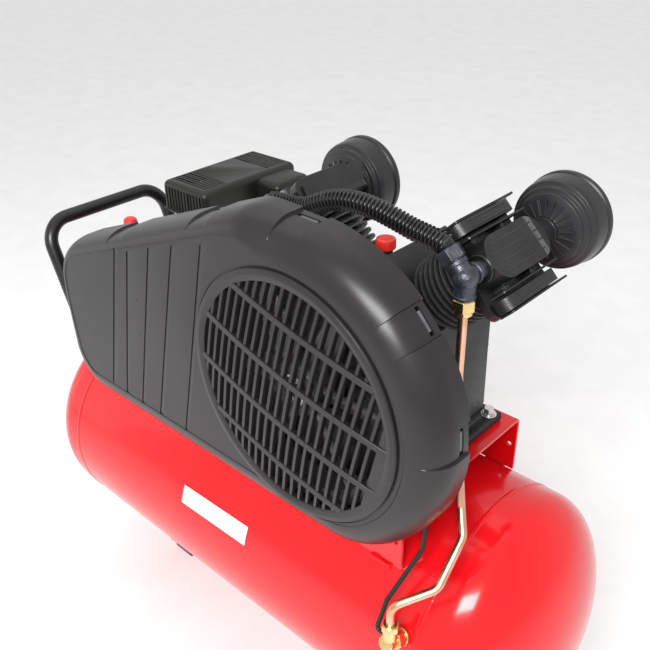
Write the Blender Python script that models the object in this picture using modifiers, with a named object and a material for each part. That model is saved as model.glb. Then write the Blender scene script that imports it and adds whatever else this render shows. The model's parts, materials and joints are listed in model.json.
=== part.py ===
"""Belt-driven V-twin air compressor standing on its own horizontal receiver.

X runs along the receiver (the pump is at the +X end), -Y is the belt-guard side, Z is up.
Every height below is measured from the receiver axis; the root empty lifts the whole machine
to the floor and centres it in depth.
"""

import math

import bmesh
import bpy
from mathutils import Matrix, Vector

GAP = 0.0003
MERGE = 1e-5

# Receiver
TANK_RADIUS = 0.185
TANK_WALL = 0.003
SHELL_HALF = 0.362
HEAD_FLANGE = 0.024
HEAD_DEPTH = 0.1022
AXIS_HEIGHT = 0.295
DEPTH_SHIFT = -0.012

# Platform
DECK_LEFT = -0.325
DECK_RIGHT = 0.312
DECK_HALF = 0.130
DECK_TOP = 0.2257
DECK_SHEET = 0.004
SKIRT_BOTTOM = 0.1365
SKIRT_HOLE = (0.302, 0.178, 0.0035)

# Undercarriage
WHEEL_X = 0.330
WHEEL_RADIUS = 0.095
WHEEL_WIDTH = 0.034
WHEEL_Y = 0.188
AXLE_RADIUS = 0.008
FOOT_X = -0.285

# Handle
HANDLE_RADIUS = 0.011
HANDLE_HALF = 0.120
HANDLE_TOP = (-0.452, 0.388)
HANDLE_FOOT = (-0.3645, 0.1565)
HANDLE_BEND = 0.042

# Pump
CRANK_X = 0.188
CRANK_Z = 0.378
BANK_ANGLE = math.radians(45)
BANK_Y = {"left": -0.005, "right": 0.020}
CRANK_THROW = 0.024
ROD_LENGTH = 0.1255
RIBBED_TUBE_RADIUS = 0.0122
BORE = 0.0280
CASE_FRONT = -0.098
CASE_BACK = 0.104
CASE_WALL = 0.008
DECK_FACE = 0.0760
BARREL_TOP = 0.1710
HEAD_TOP = 0.2160
HEAD_TEETH = ((0.0540, 0.0570, 0.201), (0.0445, 0.0475, 0.206), (0.0345, 0.0375, 0.209))
HEAD_HALF = 0.0570
FLYWHEEL_RADIUS = 0.150
BELT_Y = -0.1625
BELT_WIDTH = 0.012
BELT_THICK = 0.007
PULLEY_RADIUS = 0.050

# Motor
MOTOR_X = -0.232
MOTOR_Z = 0.316
STATOR_FRONT = -0.020
STATOR_BACK = 0.145
STATOR_RADIUS = 0.086

# Belt guard, front elevation: arcs of (centre x, centre z, radius, start, end) run anticlockwise
GUARD_CENTRE = (0.191, 0.372)
GUARD_RADIUS = 0.205
GUARD_BOTTOM = 0.183
GUARD_TOP_ANGLE = 111.0
GUARD_LEFT_ANGLE = 175.0
GUARD_LEFT_POINT = (-0.2975, 0.290)
GUARD_PEAK_ANGLE = 88.0
GUARD_PEAK_RADIUS = 0.070
GUARD_PEAK_RUN = 0.063
GUARD_RIM = 0.040
GUARD_BACK = -0.1325
GUARD_FACE = -0.192
GUARD_SHEET = 0.003
GRILLE_OPENING = 0.1512
GRILLE_RADIUS = 0.1500
GRILLE_DOME = 0.010
GRILLE_SIDES = 44
GRILLE_TILT = math.radians(-14.0)
GRILLE_BARS = 0.0647
GRILLE_BAR_WIDTH = 0.0085
SLOT_PITCH = 0.0270
SLOT_WIDTH = 0.0175
SLOT_LIMIT = 0.143
SLOT_RIGHT = 0.131

# Air line and controls
MANIFOLD_X = -0.349
MANIFOLD_Y = -0.018
CROSS_HEIGHT = 0.222
CHECK_X = 0.345
CHECK_LEAN = math.radians(65)
CHECK_SEAT = (CHECK_X, -TANK_RADIUS * math.sin(CHECK_LEAN), TANK_RADIUS * math.cos(CHECK_LEAN))
CHECK_TURN = (CHECK_LEAN, 0, 0)
CHECK_PORT_Y = -0.1912
FILLER_X = -0.014
FILLER_Y = 0.0
FILLER_TOP = 0.1075
OUTLET_HEIGHT = 0.201
INLET_HEIGHT = 0.195
FITTING_REACH = 0.0255
FILTER_NECK = {"left": 0.0, "right": 0.022}

RED = (0.62, 0.012, 0.014, 1)
BLACK = (0.02, 0.02, 0.022, 1)
CHARCOAL = (0.055, 0.052, 0.056, 1)
GREY = (0.35, 0.36, 0.38, 1)
SILVER = (0.72, 0.73, 0.75, 1)
BRASS = (0.80, 0.60, 0.30, 1)
COPPER = (0.85, 0.45, 0.30, 1)
RUBBER = (0.015, 0.015, 0.015, 1)

FACE_FRONT = (math.radians(90), 0, 0)
AXIS_BACK = (math.radians(-90), 0, 0)
AXIS_RIGHT = (0, math.radians(90), 0)


def clear_scene():
    for item in list(bpy.data.objects):
        bpy.data.objects.remove(item, do_unlink=True)


def make_collection(name):
    group = bpy.data.collections.new(name)
    bpy.context.scene.collection.children.link(group)
    return group


def material(name, colour, roughness, metallic):
    made = bpy.data.materials.new(name)
    made.use_nodes = True
    shader = made.node_tree.nodes["Principled BSDF"]
    shader.inputs["Base Color"].default_value = colour
    shader.inputs["Roughness"].default_value = roughness
    shader.inputs["Metallic"].default_value = metallic
    return made


def empty(name, location, parent=None, rotation=(0, 0, 0)):
    made = bpy.data.objects.new(name, None)
    made.location = location
    made.rotation_euler = rotation
    made.parent = parent or ROOT
    PARTS.objects.link(made)
    return made


def add(name, data, look, location=(0, 0, 0), rotation=(0, 0, 0), parent=None):
    made = bpy.data.objects.new(name, data)
    colour, roughness, metallic = look
    data.materials.append(material(name, colour, roughness, metallic))
    made.location = location
    made.rotation_euler = rotation
    made.parent = parent or ROOT
    PARTS.objects.link(made)
    return made


def smooth(made, angle=35):
    """Shades the object smooth, with edges sharper than the angle kept crisp."""
    for face in made.data.polygons:
        face.use_smooth = True
    made.data.set_sharp_from_angle(angle=math.radians(angle))
    return made


def lathe(
    name, profile, look, location=(0, 0, 0), rotation=(0, 0, 0), parent=None, steps=18, closed=False,
):
    """Turns a (radius, height) profile about its local Z; the outer side runs top to bottom."""
    mesh = bpy.data.meshes.new(name)
    points = [(radius, 0, height) for radius, height in profile]
    edges = [(i, i + 1) for i in range(len(points) - 1)]
    if closed:
        edges.append((len(points) - 1, 0))
    mesh.from_pydata(points, edges, [])
    made = add(name, mesh, look, location, rotation, parent)
    screw = made.modifiers.new("turn", "SCREW")
    screw.steps = steps
    screw.render_steps = steps
    screw.use_merge_vertices = True
    screw.merge_threshold = MERGE
    screw.use_smooth_shade = True
    return made


def outline_curve(name, loops, thickness):
    """A flat 2D curve with holes, given half the thickness to each side."""
    curve = bpy.data.curves.new(name, "CURVE")
    curve.dimensions = "2D"
    curve.fill_mode = "BOTH"
    curve.extrude = thickness / 2
    for loop in loops:
        spline = curve.splines.new("POLY")
        spline.points.add(len(loop) - 1)
        for point, (x, y) in zip(spline.points, loop):
            point.co = (x, y, 0, 1)
        spline.use_cyclic_u = True
    return curve


def curve_to_mesh(curve, name):
    """The curve as a closed mesh with its doubled edges joined."""
    holder = bpy.data.objects.new(name, curve)
    bpy.context.scene.collection.objects.link(holder)
    evaluated = holder.evaluated_get(bpy.context.evaluated_depsgraph_get())
    mesh = bpy.data.meshes.new_from_object(evaluated)
    mesh.materials.clear()
    bpy.data.objects.remove(holder, do_unlink=True)
    shape = bmesh.new()
    shape.from_mesh(mesh)
    bmesh.ops.remove_doubles(shape, verts=shape.verts, dist=MERGE)
    bmesh.ops.recalc_face_normals(shape, faces=shape.faces)
    shape.to_mesh(mesh)
    shape.free()
    mesh.name = name
    return mesh


def plate(name, loops, thickness, look, location=(0, 0, 0), rotation=(0, 0, 0), parent=None):
    mesh = curve_to_mesh(outline_curve(name, loops, thickness), name)
    return add(name, mesh, look, location, rotation, parent)


def rounded_path(corners, radius, pieces=6):
    """The corner points with every inner corner turned into an arc of the radius."""
    corners = [Vector(corner) for corner in corners]
    path = [corners[0]]
    for before, corner, after in zip(corners, corners[1:], corners[2:]):
        back = (before - corner).normalized()
        ahead = (after - corner).normalized()
        half = back.angle(ahead) / 2
        reach = min(
            radius / math.tan(half), 0.48 * min((before - corner).length, (after - corner).length),
        )
        bend = reach * math.tan(half)
        centre = corner + (back + ahead).normalized() * (bend / math.sin(half))
        start = corner + back * reach - centre
        finish = corner + ahead * reach - centre
        sweep = start.angle(finish)
        for step in range(pieces + 1):
            share = step / pieces
            near = math.sin((1 - share) * sweep) / math.sin(sweep)
            far = math.sin(share * sweep) / math.sin(sweep)
            path.append(centre + start * near + finish * far)
    path.append(corners[-1])
    return path


def tube(name, path, radius, look, resolution=2, parent=None):
    curve = bpy.data.curves.new(name, "CURVE")
    curve.dimensions = "3D"
    curve.bevel_depth = radius
    curve.bevel_resolution = resolution
    curve.use_fill_caps = True
    spline = curve.splines.new("POLY")
    spline.points.add(len(path) - 1)
    for point, place in zip(spline.points, path):
        point.co = (*place, 1)
    return smooth(add(name, curve_to_mesh(curve, name), look, parent=parent))


def box_mesh(name, size, bevel=0.0, segments=2):
    mesh = bpy.data.meshes.new(name)
    shape = bmesh.new()
    bmesh.ops.create_cube(shape, size=1)
    bmesh.ops.scale(shape, vec=size, verts=shape.verts)
    if bevel:
        bmesh.ops.bevel(
            shape, geom=shape.edges[:], offset=bevel, segments=segments, profile=0.5, affect="EDGES",
        )
    shape.to_mesh(mesh)
    shape.free()
    return mesh


def box(name, size, look, location, rotation=(0, 0, 0), parent=None, bevel=0.0):
    return add(name, box_mesh(name, size, bevel), look, location, rotation, parent)


def rod_mesh(name, radius, length, sides=12, top_radius=None):
    mesh = bpy.data.meshes.new(name)
    shape = bmesh.new()
    bmesh.ops.create_cone(
        shape, cap_ends=True, segments=sides, radius1=radius,
        radius2=radius if top_radius is None else top_radius, depth=length,
    )
    shape.to_mesh(mesh)
    shape.free()
    return mesh


def tool(name, mesh, location, rotation=(0, 0, 0), parent=None):
    """A hidden shape used only to cut or join another."""
    made = bpy.data.objects.new(name, mesh)
    made.location = location
    made.rotation_euler = rotation
    made.parent = parent or ROOT
    made.hide_render = True
    made.display_type = "WIRE"
    CUTTERS.objects.link(made)
    return made


def combine(target, other, operation):
    change = target.modifiers.new(other.name, "BOOLEAN")
    change.operation = operation
    change.solver = "EXACT"
    change.object = other
    return target


def cut(target, other):
    return combine(target, other, "DIFFERENCE")


def join(target, other):
    return combine(target, other, "UNION")


def turned_tool(name, profile, location, parent, steps):
    """A ring to be joined to another shape, turned about its local Z."""
    mesh = bpy.data.meshes.new(name)
    mesh.from_pydata(
        [(radius, 0, height) for radius, height in profile],
        [(i, (i + 1) % len(profile)) for i in range(len(profile))], [],
    )
    made = tool(name, mesh, location, parent=parent)
    screw = made.modifiers.new("turn", "SCREW")
    screw.steps = steps
    screw.render_steps = steps
    screw.use_merge_vertices = True
    screw.merge_threshold = MERGE
    return made


def circle(x, y, radius, count=24, start=0.0):
    step = 2 * math.pi / count
    return [
        (x + radius * math.cos(start + i * step), y + radius * math.sin(start + i * step))
        for i in range(count)
    ]


def arc_points(cx, cy, radius, start, end, count):
    angles = [math.radians(start + (end - start) * i / count) for i in range(count + 1)]
    return [(cx + radius * math.cos(angle), cy + radius * math.sin(angle)) for angle in angles]


def smooth_curve(points, per_span=5):
    """A Catmull-Rom curve through the points."""
    points = [Vector(point) for point in points]
    padded = [2 * points[0] - points[1], *points, 2 * points[-1] - points[-2]]
    path = []
    for a, b, c, d in zip(padded, padded[1:], padded[2:], padded[3:]):
        for step in range(per_span):
            t = step / per_span
            bend = (2 * a - 5 * b + 4 * c - d) * t**2
            twist = (3 * b - a - 3 * c + d) * t**3
            path.append(0.5 * (2 * b + (c - a) * t + bend + twist))
    path.append(points[-1])
    return path


def guard_arcs():
    cx, cz = GUARD_CENTRE
    top = Vector((math.cos(math.radians(GUARD_TOP_ANGLE)), math.sin(math.radians(GUARD_TOP_ANGLE))))
    left = Vector((math.cos(math.radians(GUARD_LEFT_ANGLE)), math.sin(math.radians(GUARD_LEFT_ANGLE))))
    lift = math.radians(GUARD_PEAK_ANGLE)
    outward = Vector((math.cos(lift), math.sin(lift)))
    along = Vector((-math.sin(lift), math.cos(lift)))
    peak = Vector(GUARD_CENTRE) + outward * (GUARD_RADIUS - GUARD_PEAK_RADIUS) + along * GUARD_PEAK_RUN
    top_reach = top.dot(peak) + GUARD_PEAK_RADIUS
    left_reach = left.dot(Vector(GUARD_LEFT_POINT))
    upper, lower, blend = 0.060, 0.070, 0.120
    corner = Matrix((top, left)).inverted() @ Vector((top_reach - upper, left_reach - upper))
    floor = Vector((0, -1))
    heel = Matrix((left, floor)).inverted() @ Vector((left_reach - lower, -GUARD_BOTTOM - lower))
    blend_z = GUARD_BOTTOM + blend
    blend_x = cx + math.sqrt((GUARD_RADIUS - blend) ** 2 - (cz - blend_z) ** 2)
    turn = math.degrees(math.atan2(blend_z - cz, blend_x - cx))
    return [
        (blend_x, blend_z, blend, -90, turn, 3), (cx, cz, GUARD_RADIUS, turn, GUARD_PEAK_ANGLE, 17),
        (peak.x, peak.y, GUARD_PEAK_RADIUS, GUARD_PEAK_ANGLE, GUARD_TOP_ANGLE, 3),
        (corner.x, corner.y, upper, GUARD_TOP_ANGLE, GUARD_LEFT_ANGLE, 5),
        (heel.x, heel.y, lower, GUARD_LEFT_ANGLE, 270, 6),
    ]


def guard_outline(inset):
    points = []
    for cx, cz, radius, start, end, count in guard_arcs():
        arc = arc_points(cx, cz, radius - inset, start, end, count)
        points += arc if not points or (
            Vector(arc[0]) - Vector(points[-1])
        ).length > MERGE * 10 else arc[1:]
    return points


def build_tank():
    red = (RED, 0.22, 0.0)
    inner = TANK_RADIUS - TANK_WALL
    shell = lathe(
        "tank_shell",
        [
            (TANK_RADIUS, SHELL_HALF), (TANK_RADIUS, -SHELL_HALF), (inner, -SHELL_HALF),
            (inner, SHELL_HALF),
        ],
        red, rotation=AXIS_RIGHT, steps=36, closed=True,
    )
    ports = [
        ("port_manifold", (MANIFOLD_X, MANIFOLD_Y, TANK_RADIUS), (0, 0, 0), 0.0095),
        ("port_drain", (0, 0, -TANK_RADIUS), (0, 0, 0), 0.0065),
        ("port_check", CHECK_SEAT, CHECK_TURN, 0.0095),
    ]
    for name, place, turn, radius in ports:
        cut(shell, tool(name, rod_mesh(name, radius, 0.03, 12), place, turn))
    for side, sign in (("left", -1), ("right", 1)):
        count = 6
        outer = [
            (
                TANK_RADIUS * math.sin(i * math.pi / 2 / count),
                HEAD_FLANGE + HEAD_DEPTH * math.cos(i * math.pi / 2 / count),
            )
            for i in range(count + 1)
        ]
        hollow = [
            (
                inner * math.sin(i * math.pi / 2 / count),
                HEAD_FLANGE + (HEAD_DEPTH - TANK_WALL) * math.cos(i * math.pi / 2 / count),
            )
            for i in range(count, -1, -1)
        ]
        profile = [*outer, (TANK_RADIUS, 0), (inner, 0), *hollow]
        lathe(
            "tank_head_" + side, profile, red, (sign * (SHELL_HALF + GAP), 0, 0),
            (0, sign * math.radians(90), 0), steps=36,
        )


def build_platform():
    inner = DECK_HALF - DECK_SHEET
    under = DECK_TOP - DECK_SHEET
    section = [
        (-DECK_HALF, SKIRT_BOTTOM), (-inner, SKIRT_BOTTOM), (-inner, under), (inner, under),
        (inner, SKIRT_BOTTOM), (DECK_HALF, SKIRT_BOTTOM), (DECK_HALF, DECK_TOP), (-DECK_HALF, DECK_TOP),
    ]
    middle = (DECK_LEFT + DECK_RIGHT) / 2
    deck = plate(
        "platform", [section], DECK_RIGHT - DECK_LEFT, (RED, 0.25, 0.0), (middle, 0, 0),
        (math.radians(90), 0, math.radians(90)),
    )
    x, z, radius = SKIRT_HOLE
    cut(
        deck, tool("skirt_hole", rod_mesh("skirt_hole", radius, 0.03, 12), (x, DECK_HALF, z), AXIS_BACK),
    )


def build_undercarriage():
    steel = (RED, 0.3, 0.0)
    axle_z = WHEEL_RADIUS - AXIS_HEIGHT
    cheek = [(-0.045, -0.157), (-0.016, axle_z - 0.016), (0.016, axle_z - 0.016), (0.045, -0.157)]
    eye = circle(0, axle_z, AXLE_RADIUS + GAP, 16)
    for side, sign in (("front", -1), ("back", 1)):
        plate(
            "axle_bracket_" + side, [cheek, eye], 0.004, steel, (WHEEL_X, sign * 0.101, 0), FACE_FRONT,
        )
    lathe(
        "axle",
        [
            (0, WHEEL_Y + 0.021), (AXLE_RADIUS, WHEEL_Y + 0.021), (AXLE_RADIUS, -WHEEL_Y - 0.021),
            (0, -WHEEL_Y - 0.021),
        ],
        (SILVER, 0.35, 1.0), (WHEEL_X, 0, axle_z), AXIS_BACK, steps=20,
    )
    for side, sign in (("front", -1), ("back", 1)):
        hub = empty("wheel_axis_" + side, (WHEEL_X, sign * WHEEL_Y, axle_z), ROOT)
        wide = WHEEL_WIDTH / 2
        rim = 0.066
        lathe(
            "wheel_rim_" + side,
            [
                (rim, wide - 0.004), (rim, -wide + 0.004), (rim - 0.008, -wide + 0.004),
                (rim - 0.010, -0.003), (0.022, -0.003), (0.020, -wide), (AXLE_RADIUS + GAP, -wide),
                (AXLE_RADIUS + GAP, wide), (0.020, wide), (0.022, 0.003), (rim - 0.010, 0.003),
                (rim - 0.008, wide - 0.004),
            ],
            (BLACK, 0.5, 0.0), (0, 0, 0), AXIS_BACK, hub, steps=24, closed=True,
        )
        lathe(
            "wheel_tyre_" + side,
            [
                (WHEEL_RADIUS - 0.004, wide), (WHEEL_RADIUS, wide - 0.006),
                (WHEEL_RADIUS, -wide + 0.006), (WHEEL_RADIUS - 0.004, -wide), (rim + 0.004, -wide),
                (rim + GAP, -wide + 0.004), (rim + GAP, wide - 0.004), (rim + 0.004, wide),
            ],
            (RUBBER, 0.8, 0.0), (0, 0, 0), AXIS_BACK, hub, steps=24, closed=True,
        )
    sole = -AXIS_HEIGHT
    pad = 0.014
    width = 0.062
    sheet = 0.004
    channel = [
        (-width, sole + pad), (width, sole + pad), (width, -0.1748), (width - sheet, -0.1762),
        (width - sheet, sole + pad + sheet), (sheet - width, sole + pad + sheet),
        (sheet - width, -0.1762), (-width, -0.1748),
    ]
    plate(
        "foot_bracket", [channel], 0.060, steel, (FOOT_X, 0, 0), (math.radians(90), 0, math.radians(90)),
    )
    tall = pad - GAP
    box(
        "rubber_foot", (0.050, 0.110, tall), (RUBBER, 0.85, 0.0), (FOOT_X, 0, sole + tall / 2),
        bevel=0.003,
    )


def build_handle():
    top_x, top_z = HANDLE_TOP
    foot_x, foot_z = HANDLE_FOOT
    corners = [
        (foot_x, -HANDLE_HALF, foot_z), (top_x, -HANDLE_HALF, top_z), (top_x, HANDLE_HALF, top_z),
        (foot_x, HANDLE_HALF, foot_z),
    ]
    tube("handle", rounded_path(corners, HANDLE_BEND, 7), HANDLE_RADIUS, (BLACK, 0.35, 0.0))


def build_motor():
    shell = (CHARCOAL, 0.5, 0.3)
    stator = empty("motor_axis", (MOTOR_X, 0, MOTOR_Z))
    ribs = 16
    ring = []
    for index in range(ribs):
        for share, radius in (
            (0.0, 0.079), (0.32, 0.079), (0.40, STATOR_RADIUS), (0.92, STATOR_RADIUS),
        ):
            angle = 2 * math.pi * (index + share) / ribs
            ring.append((radius * math.cos(angle), radius * math.sin(angle)))
    middle = (STATOR_FRONT + STATOR_BACK) / 2
    long = STATOR_BACK - STATOR_FRONT
    housing = plate(
        "motor_stator", [ring, circle(0, 0, 0.060, 24)], long, shell, (0, middle, 0), FACE_FRONT, stator,
    )
    deck = DECK_TOP + GAP - MOTOR_Z
    foot = [
        (-0.072, deck), (0.072, deck), (0.072, deck + 0.009), (0.044, deck + 0.012), (0.030, -0.072),
        (-0.030, -0.072), (-0.044, deck + 0.012), (-0.072, deck + 0.009),
    ]
    join(
        housing,
        tool(
            "motor_foot", curve_to_mesh(outline_curve("motor_foot", [foot], 0.120), "motor_foot"),
            (0, middle, 0), FACE_FRONT, stator,
        ),
    )
    bell = [
        (0.026, 0.034), (0.060, 0.030), (0.080, 0.018), (0.084, 0.010), (0.084, 0), (0.074, 0),
        (0.070, 0.012), (0.018, 0.026), (0.0123, 0.026), (0.0123, 0.040), (0.022, 0.040),
    ]
    lathe("motor_bell_front", bell, shell, (0, STATOR_FRONT - GAP, 0), FACE_FRONT, stator, 22, True)
    rear = [(0.0770, 0.012), (0.0770, -0.002), (0.0123, -0.002), (0.0123, 0.012)]
    end_wall = turned_tool("motor_end_wall", rear, (0, STATOR_BACK, 0), stator, 24)
    end_wall.rotation_euler = AXIS_BACK
    join(housing, end_wall)
    cowl = [
        (0.020, 0.072), (0.066, 0.072), (0.082, 0.064), (0.0875, 0.050), (0.0875, 0), (0.0850, 0),
        (0.0850, 0.050), (0.080, 0.062), (0.065, 0.0695), (0.020, 0.0695),
    ]
    lathe(
        "motor_fan_cowl", cowl, (BLACK, 0.45, 0.0), (0, STATOR_BACK + 0.016, 0), AXIS_BACK, stator, 22,
        True,
    )
    spin = empty("rotor_axis", (0, 0, 0), stator)
    shaft = [
        (0, 0.180), (0.012, 0.180), (0.012, 0.130), (0.0590, 0.130), (0.0590, 0.0), (0.012, 0.0),
        (0.012, -0.180), (0, -0.180),
    ]
    lathe("motor_rotor", shaft, (SILVER, 0.35, 1.0), (0, 0, 0), AXIS_BACK, spin, 22)
    half = 0.014
    rim = PULLEY_RADIUS
    pulley = [
        (rim, half), (rim, 0.0090), (rim - BELT_THICK - 0.003, 0.0063),
        (rim - BELT_THICK - 0.003, -0.0063), (rim, -0.0090), (rim, -half), (0.0123, -half),
        (0.0123, half),
    ]
    lathe("motor_pulley", pulley, (GREY, 0.45, 0.9), (0, BELT_Y, 0), AXIS_BACK, spin, 22, True)
    blades = 8
    fan = []
    for index in range(blades):
        turn = 360 * index / blades
        fan += arc_points(0, 0, 0.070, turn - 4, turn + 4, 1)
        fan += arc_points(0, 0, 0.026, turn + 9, turn + 36, 2)
    plate(
        "motor_fan", [fan, circle(0, 0, 0.0123, 20)], 0.014, (BLACK, 0.5, 0.0), (0, 0.189 - 0.009, 0),
        FACE_FRONT, spin,
    )
    cover = box(
        "capacitor_box", (0.104, 0.196, 0.054), (BLACK, 0.55, 0.0), (-0.002, 0.104, 0.0895 + 0.027),
        parent=stator, bevel=0.007,
    )
    lobe = tool(
        "box_lobe", box_mesh("box_lobe", (0.062, 0.074, 0.048), 0.008), (0.066, 0.150, 0.114),
        parent=stator,
    )
    join(cover, lobe)


def build_case():
    iron = (CHARCOAL, 0.6, 0.4)
    seat = DECK_TOP + GAP - CRANK_Z
    foot = 0.012
    side, waist, peak = 0.078, 0.029, DECK_FACE * math.sqrt(2)
    body = [(-0.080, seat), (0.080, seat), (side, waist), (0, peak), (-side, waist)]
    wall = CASE_WALL
    slope = wall * (math.sqrt(2) - 1)
    hollow = [
        (wall - 0.080, seat + wall), (0.080 - wall, seat + wall), (side - wall, waist - slope),
        (0, peak - wall * math.sqrt(2)), (wall - side, waist - slope),
    ]
    crank = empty("crank_axis", (CRANK_X, 0, CRANK_Z))
    middle = (CASE_FRONT + CASE_BACK) / 2
    depth = CASE_BACK - CASE_FRONT
    case = plate("crankcase", [body], depth, iron, (0, middle, 0), FACE_FRONT, crank)
    base = box_mesh("case_foot", (0.214, 0.180, foot), 0.002, 1)
    join(case, tool("case_foot", base, (0, 0.020, seat + foot / 2), parent=crank))
    nose = rod_mesh("case_nose", 0.036, 0.050, 20, 0.030)
    join(case, tool("case_nose", nose, (0, CASE_FRONT - 0.005, 0), FACE_FRONT, crank))
    join(
        case,
        tool(
            "filler_neck", rod_mesh("filler_neck", 0.009, 0.045, 12), (FILLER_X, FILLER_Y, FILLER_TOP - 0.0225),
            parent=crank,
        ),
    )
    inside = curve_to_mesh(outline_curve("case_hollow", [hollow], depth), "case_hollow")
    cut(case, tool("case_hollow", inside, (0, middle + 0.014, 0), FACE_FRONT, crank))
    cut(
        case,
        tool(
            "case_bearing", rod_mesh("case_bearing", 0.0155, 0.09, 16), (0, CASE_FRONT, 0), FACE_FRONT,
            crank,
        ),
    )
    cut(
        case,
        tool(
            "filler_bore", rod_mesh("filler_bore", 0.006, 0.080, 12), (FILLER_X, FILLER_Y, 0.095),
            parent=crank,
        ),
    )
    for bank, sign in (("left", -1), ("right", 1)):
        frame = empty("bank_" + bank, (0, BANK_Y[bank], 0), crank, (0, sign * BANK_ANGLE, 0))
        BANKS[bank] = frame
        cut(
            case,
            tool(
                "case_bore_" + bank, rod_mesh("case_bore_" + bank, BORE + 0.001, 0.05, 20),
                (0, 0, DECK_FACE), parent=frame,
            ),
        )
        for end, y in (("front", -0.054), ("back", 0.094)):
            name = "foot_hole_%s_%s" % (bank, end)
            cut(
                case,
                tool(name, rod_mesh(name, 0.0045, 0.04, 12), (sign * 0.095, y, seat), parent=crank),
            )
    cover_edge = [
        (-0.077, seat + 0.014), (0.077, seat + 0.014), (0.074, 0.024), (0.018, 0.078), (-0.018, 0.078),
        (-0.074, 0.024),
    ]
    cover = plate(
        "crankcase_cover", [cover_edge], 0.006, iron, (0, CASE_BACK + 0.003 + GAP, 0), FACE_FRONT, crank,
    )
    join(
        cover,
        tool(
            "rear_bearing", rod_mesh("rear_bearing", 0.034, 0.014, 20, 0.029),
            (0, CASE_BACK + 0.010, 0), AXIS_BACK, crank,
        ),
    )
    cut(
        cover,
        tool(
            "sight_bore", rod_mesh("sight_bore", 0.0093, 0.03, 12), (0, CASE_BACK, -0.085), AXIS_BACK,
            crank,
        ),
    )
    lathe(
        "sight_glass",
        [
            (0, 0.0105), (0.007, 0.0105), (0.013, 0.0085), (0.013, 0.0066), (0.009, 0.0066),
            (0.009, 0.001), (0, 0.001),
        ],
        ((0.8, 0.75, 0.5, 1), 0.1, 0.0), (0, CASE_BACK, -0.085), AXIS_BACK, crank, 20,
    )
    cap = [
        (0, 0.014), (0.0105, 0.014), (0.0125, 0.011), (0.0125, GAP), (0.0055, GAP), (0.0055, -0.010),
        (0, -0.010),
    ]
    lathe(
        "oil_cap", cap, ((0.80, 0.04, 0.03, 1), 0.35, 0.0), (FILLER_X, FILLER_Y, FILLER_TOP), (0, 0, 0),
        crank, 20,
    )
    return crank


def fin_ring(sides, inner, spans, top, bottom):
    """A finned barrel section, from the top down its outer side and back up the bore."""
    profile = [(inner + sides, top)]
    for high, low, radius in spans:
        profile += [(inner + sides, high), (radius, high), (radius, low), (inner + sides, low)]
    return [*profile, (inner + sides, bottom), (inner, bottom), (inner, top)]


def build_banks():
    iron = (CHARCOAL, 0.6, 0.4)
    alloy = (BLACK, 0.5, 0.3)
    for bank in ("left", "right"):
        frame = BANKS[bank]
        sign = -1 if bank == "left" else 1
        floor = DECK_FACE + GAP
        fins = [(BARREL_TOP - 0.0015, BARREL_TOP - 0.006, 0.050)]
        for index in range(3):
            low = floor + 0.021 + index * 0.0210
            fins.append((low + 0.0045, low, 0.049))
        fins.append((floor + 0.007, floor + 0.0005, 0.037))
        ordered = sorted(fins, reverse=True)
        lathe(
            "barrel_" + bank, fin_ring(0.007, BORE, ordered, BARREL_TOP, floor), iron, parent=frame,
            steps=20, closed=True,
        )
        base = BARREL_TOP + GAP
        half = HEAD_HALF
        slab = base + 0.012
        comb = [(-half, base), (half, base)]
        for inner, outer, high in HEAD_TEETH:
            comb += [(outer, high), (inner, high), (inner, slab)] if outer == half else [
                (outer, slab), (outer, high), (inner, high), (inner, slab),
            ]
        comb += [(0.026, slab), (0.026, HEAD_TOP - 0.004), (0.022, HEAD_TOP)]
        mirrored = [(-x, z) for x, z in reversed(comb[2:])]
        head = plate("head_" + bank, [comb + mirrored], 2 * half, alloy, (0, 0, 0), FACE_FRONT, frame)
        outlet = rod_mesh("outlet_" + bank, 0.0092, 0.03, 16)
        inlet = rod_mesh("inlet_" + bank, 0.0130, 0.03, 16)
        cut(head, tool("outlet_" + bank, outlet, (0, -half, OUTLET_HEIGHT), AXIS_BACK, frame))
        cut(head, tool("inlet_" + bank, inlet, (0, half, INLET_HEIGHT), AXIS_BACK, frame))
        neck = FILTER_NECK[bank]
        can = [
            (0.020, 0.061), (0.058, 0.061), (0.0605, 0.058), (0.0605, 0.053), (0.0570, 0.022),
            (0.050, 0.019), (0.046, 0.012), (0.0160, 0.007),
        ]
        hollow = [(0.009, 0.010), (0.043, 0.016), (0.054, 0.026), (0.055, 0.056), (0.020, 0.0585)]
        filter_profile = [(radius, depth + neck) for radius, depth in can]
        filter_profile += [(0.0150, GAP), (0.0122, GAP), (0.0122, -0.012), (0.009, -0.012)]
        filter_profile += [(radius, depth + neck) for radius, depth in hollow]
        lathe(
            "filter_" + bank, filter_profile, ((0.03, 0.03, 0.033, 1), 0.4, 0.0),
            (0, half, INLET_HEIGHT), AXIS_BACK, frame, 26, True,
        )
        offset = CRANK_THROW * math.sin(BANK_ANGLE)
        rest = CRANK_THROW * math.cos(BANK_ANGLE) + math.sqrt(ROD_LENGTH**2 - offset**2)
        slide = empty("piston_slide_" + bank, (0, 0, rest), frame)
        outer = BORE - 2 * GAP
        rings = [
            (0, 0.0200), (outer, 0.0200), (outer, -0.022), (outer - 0.004, -0.022),
            (outer - 0.004, 0.012), (0, 0.012),
        ]
        piston = lathe("piston_" + bank, rings, (SILVER, 0.4, 1.0), parent=slide, steps=20)
        join(
            piston,
            tool(
                "gudgeon_" + bank, rod_mesh("gudgeon_" + bank, 0.006, 2 * outer - 0.003, 12), (0, 0, 0),
                AXIS_BACK, slide,
            ),
        )
        lean = sign * math.asin(offset / ROD_LENGTH)
        swing = empty("rod_swing_" + bank, (0, 0, 0), slide, (0, lean, 0))
        build_rod(bank, swing)


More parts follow.
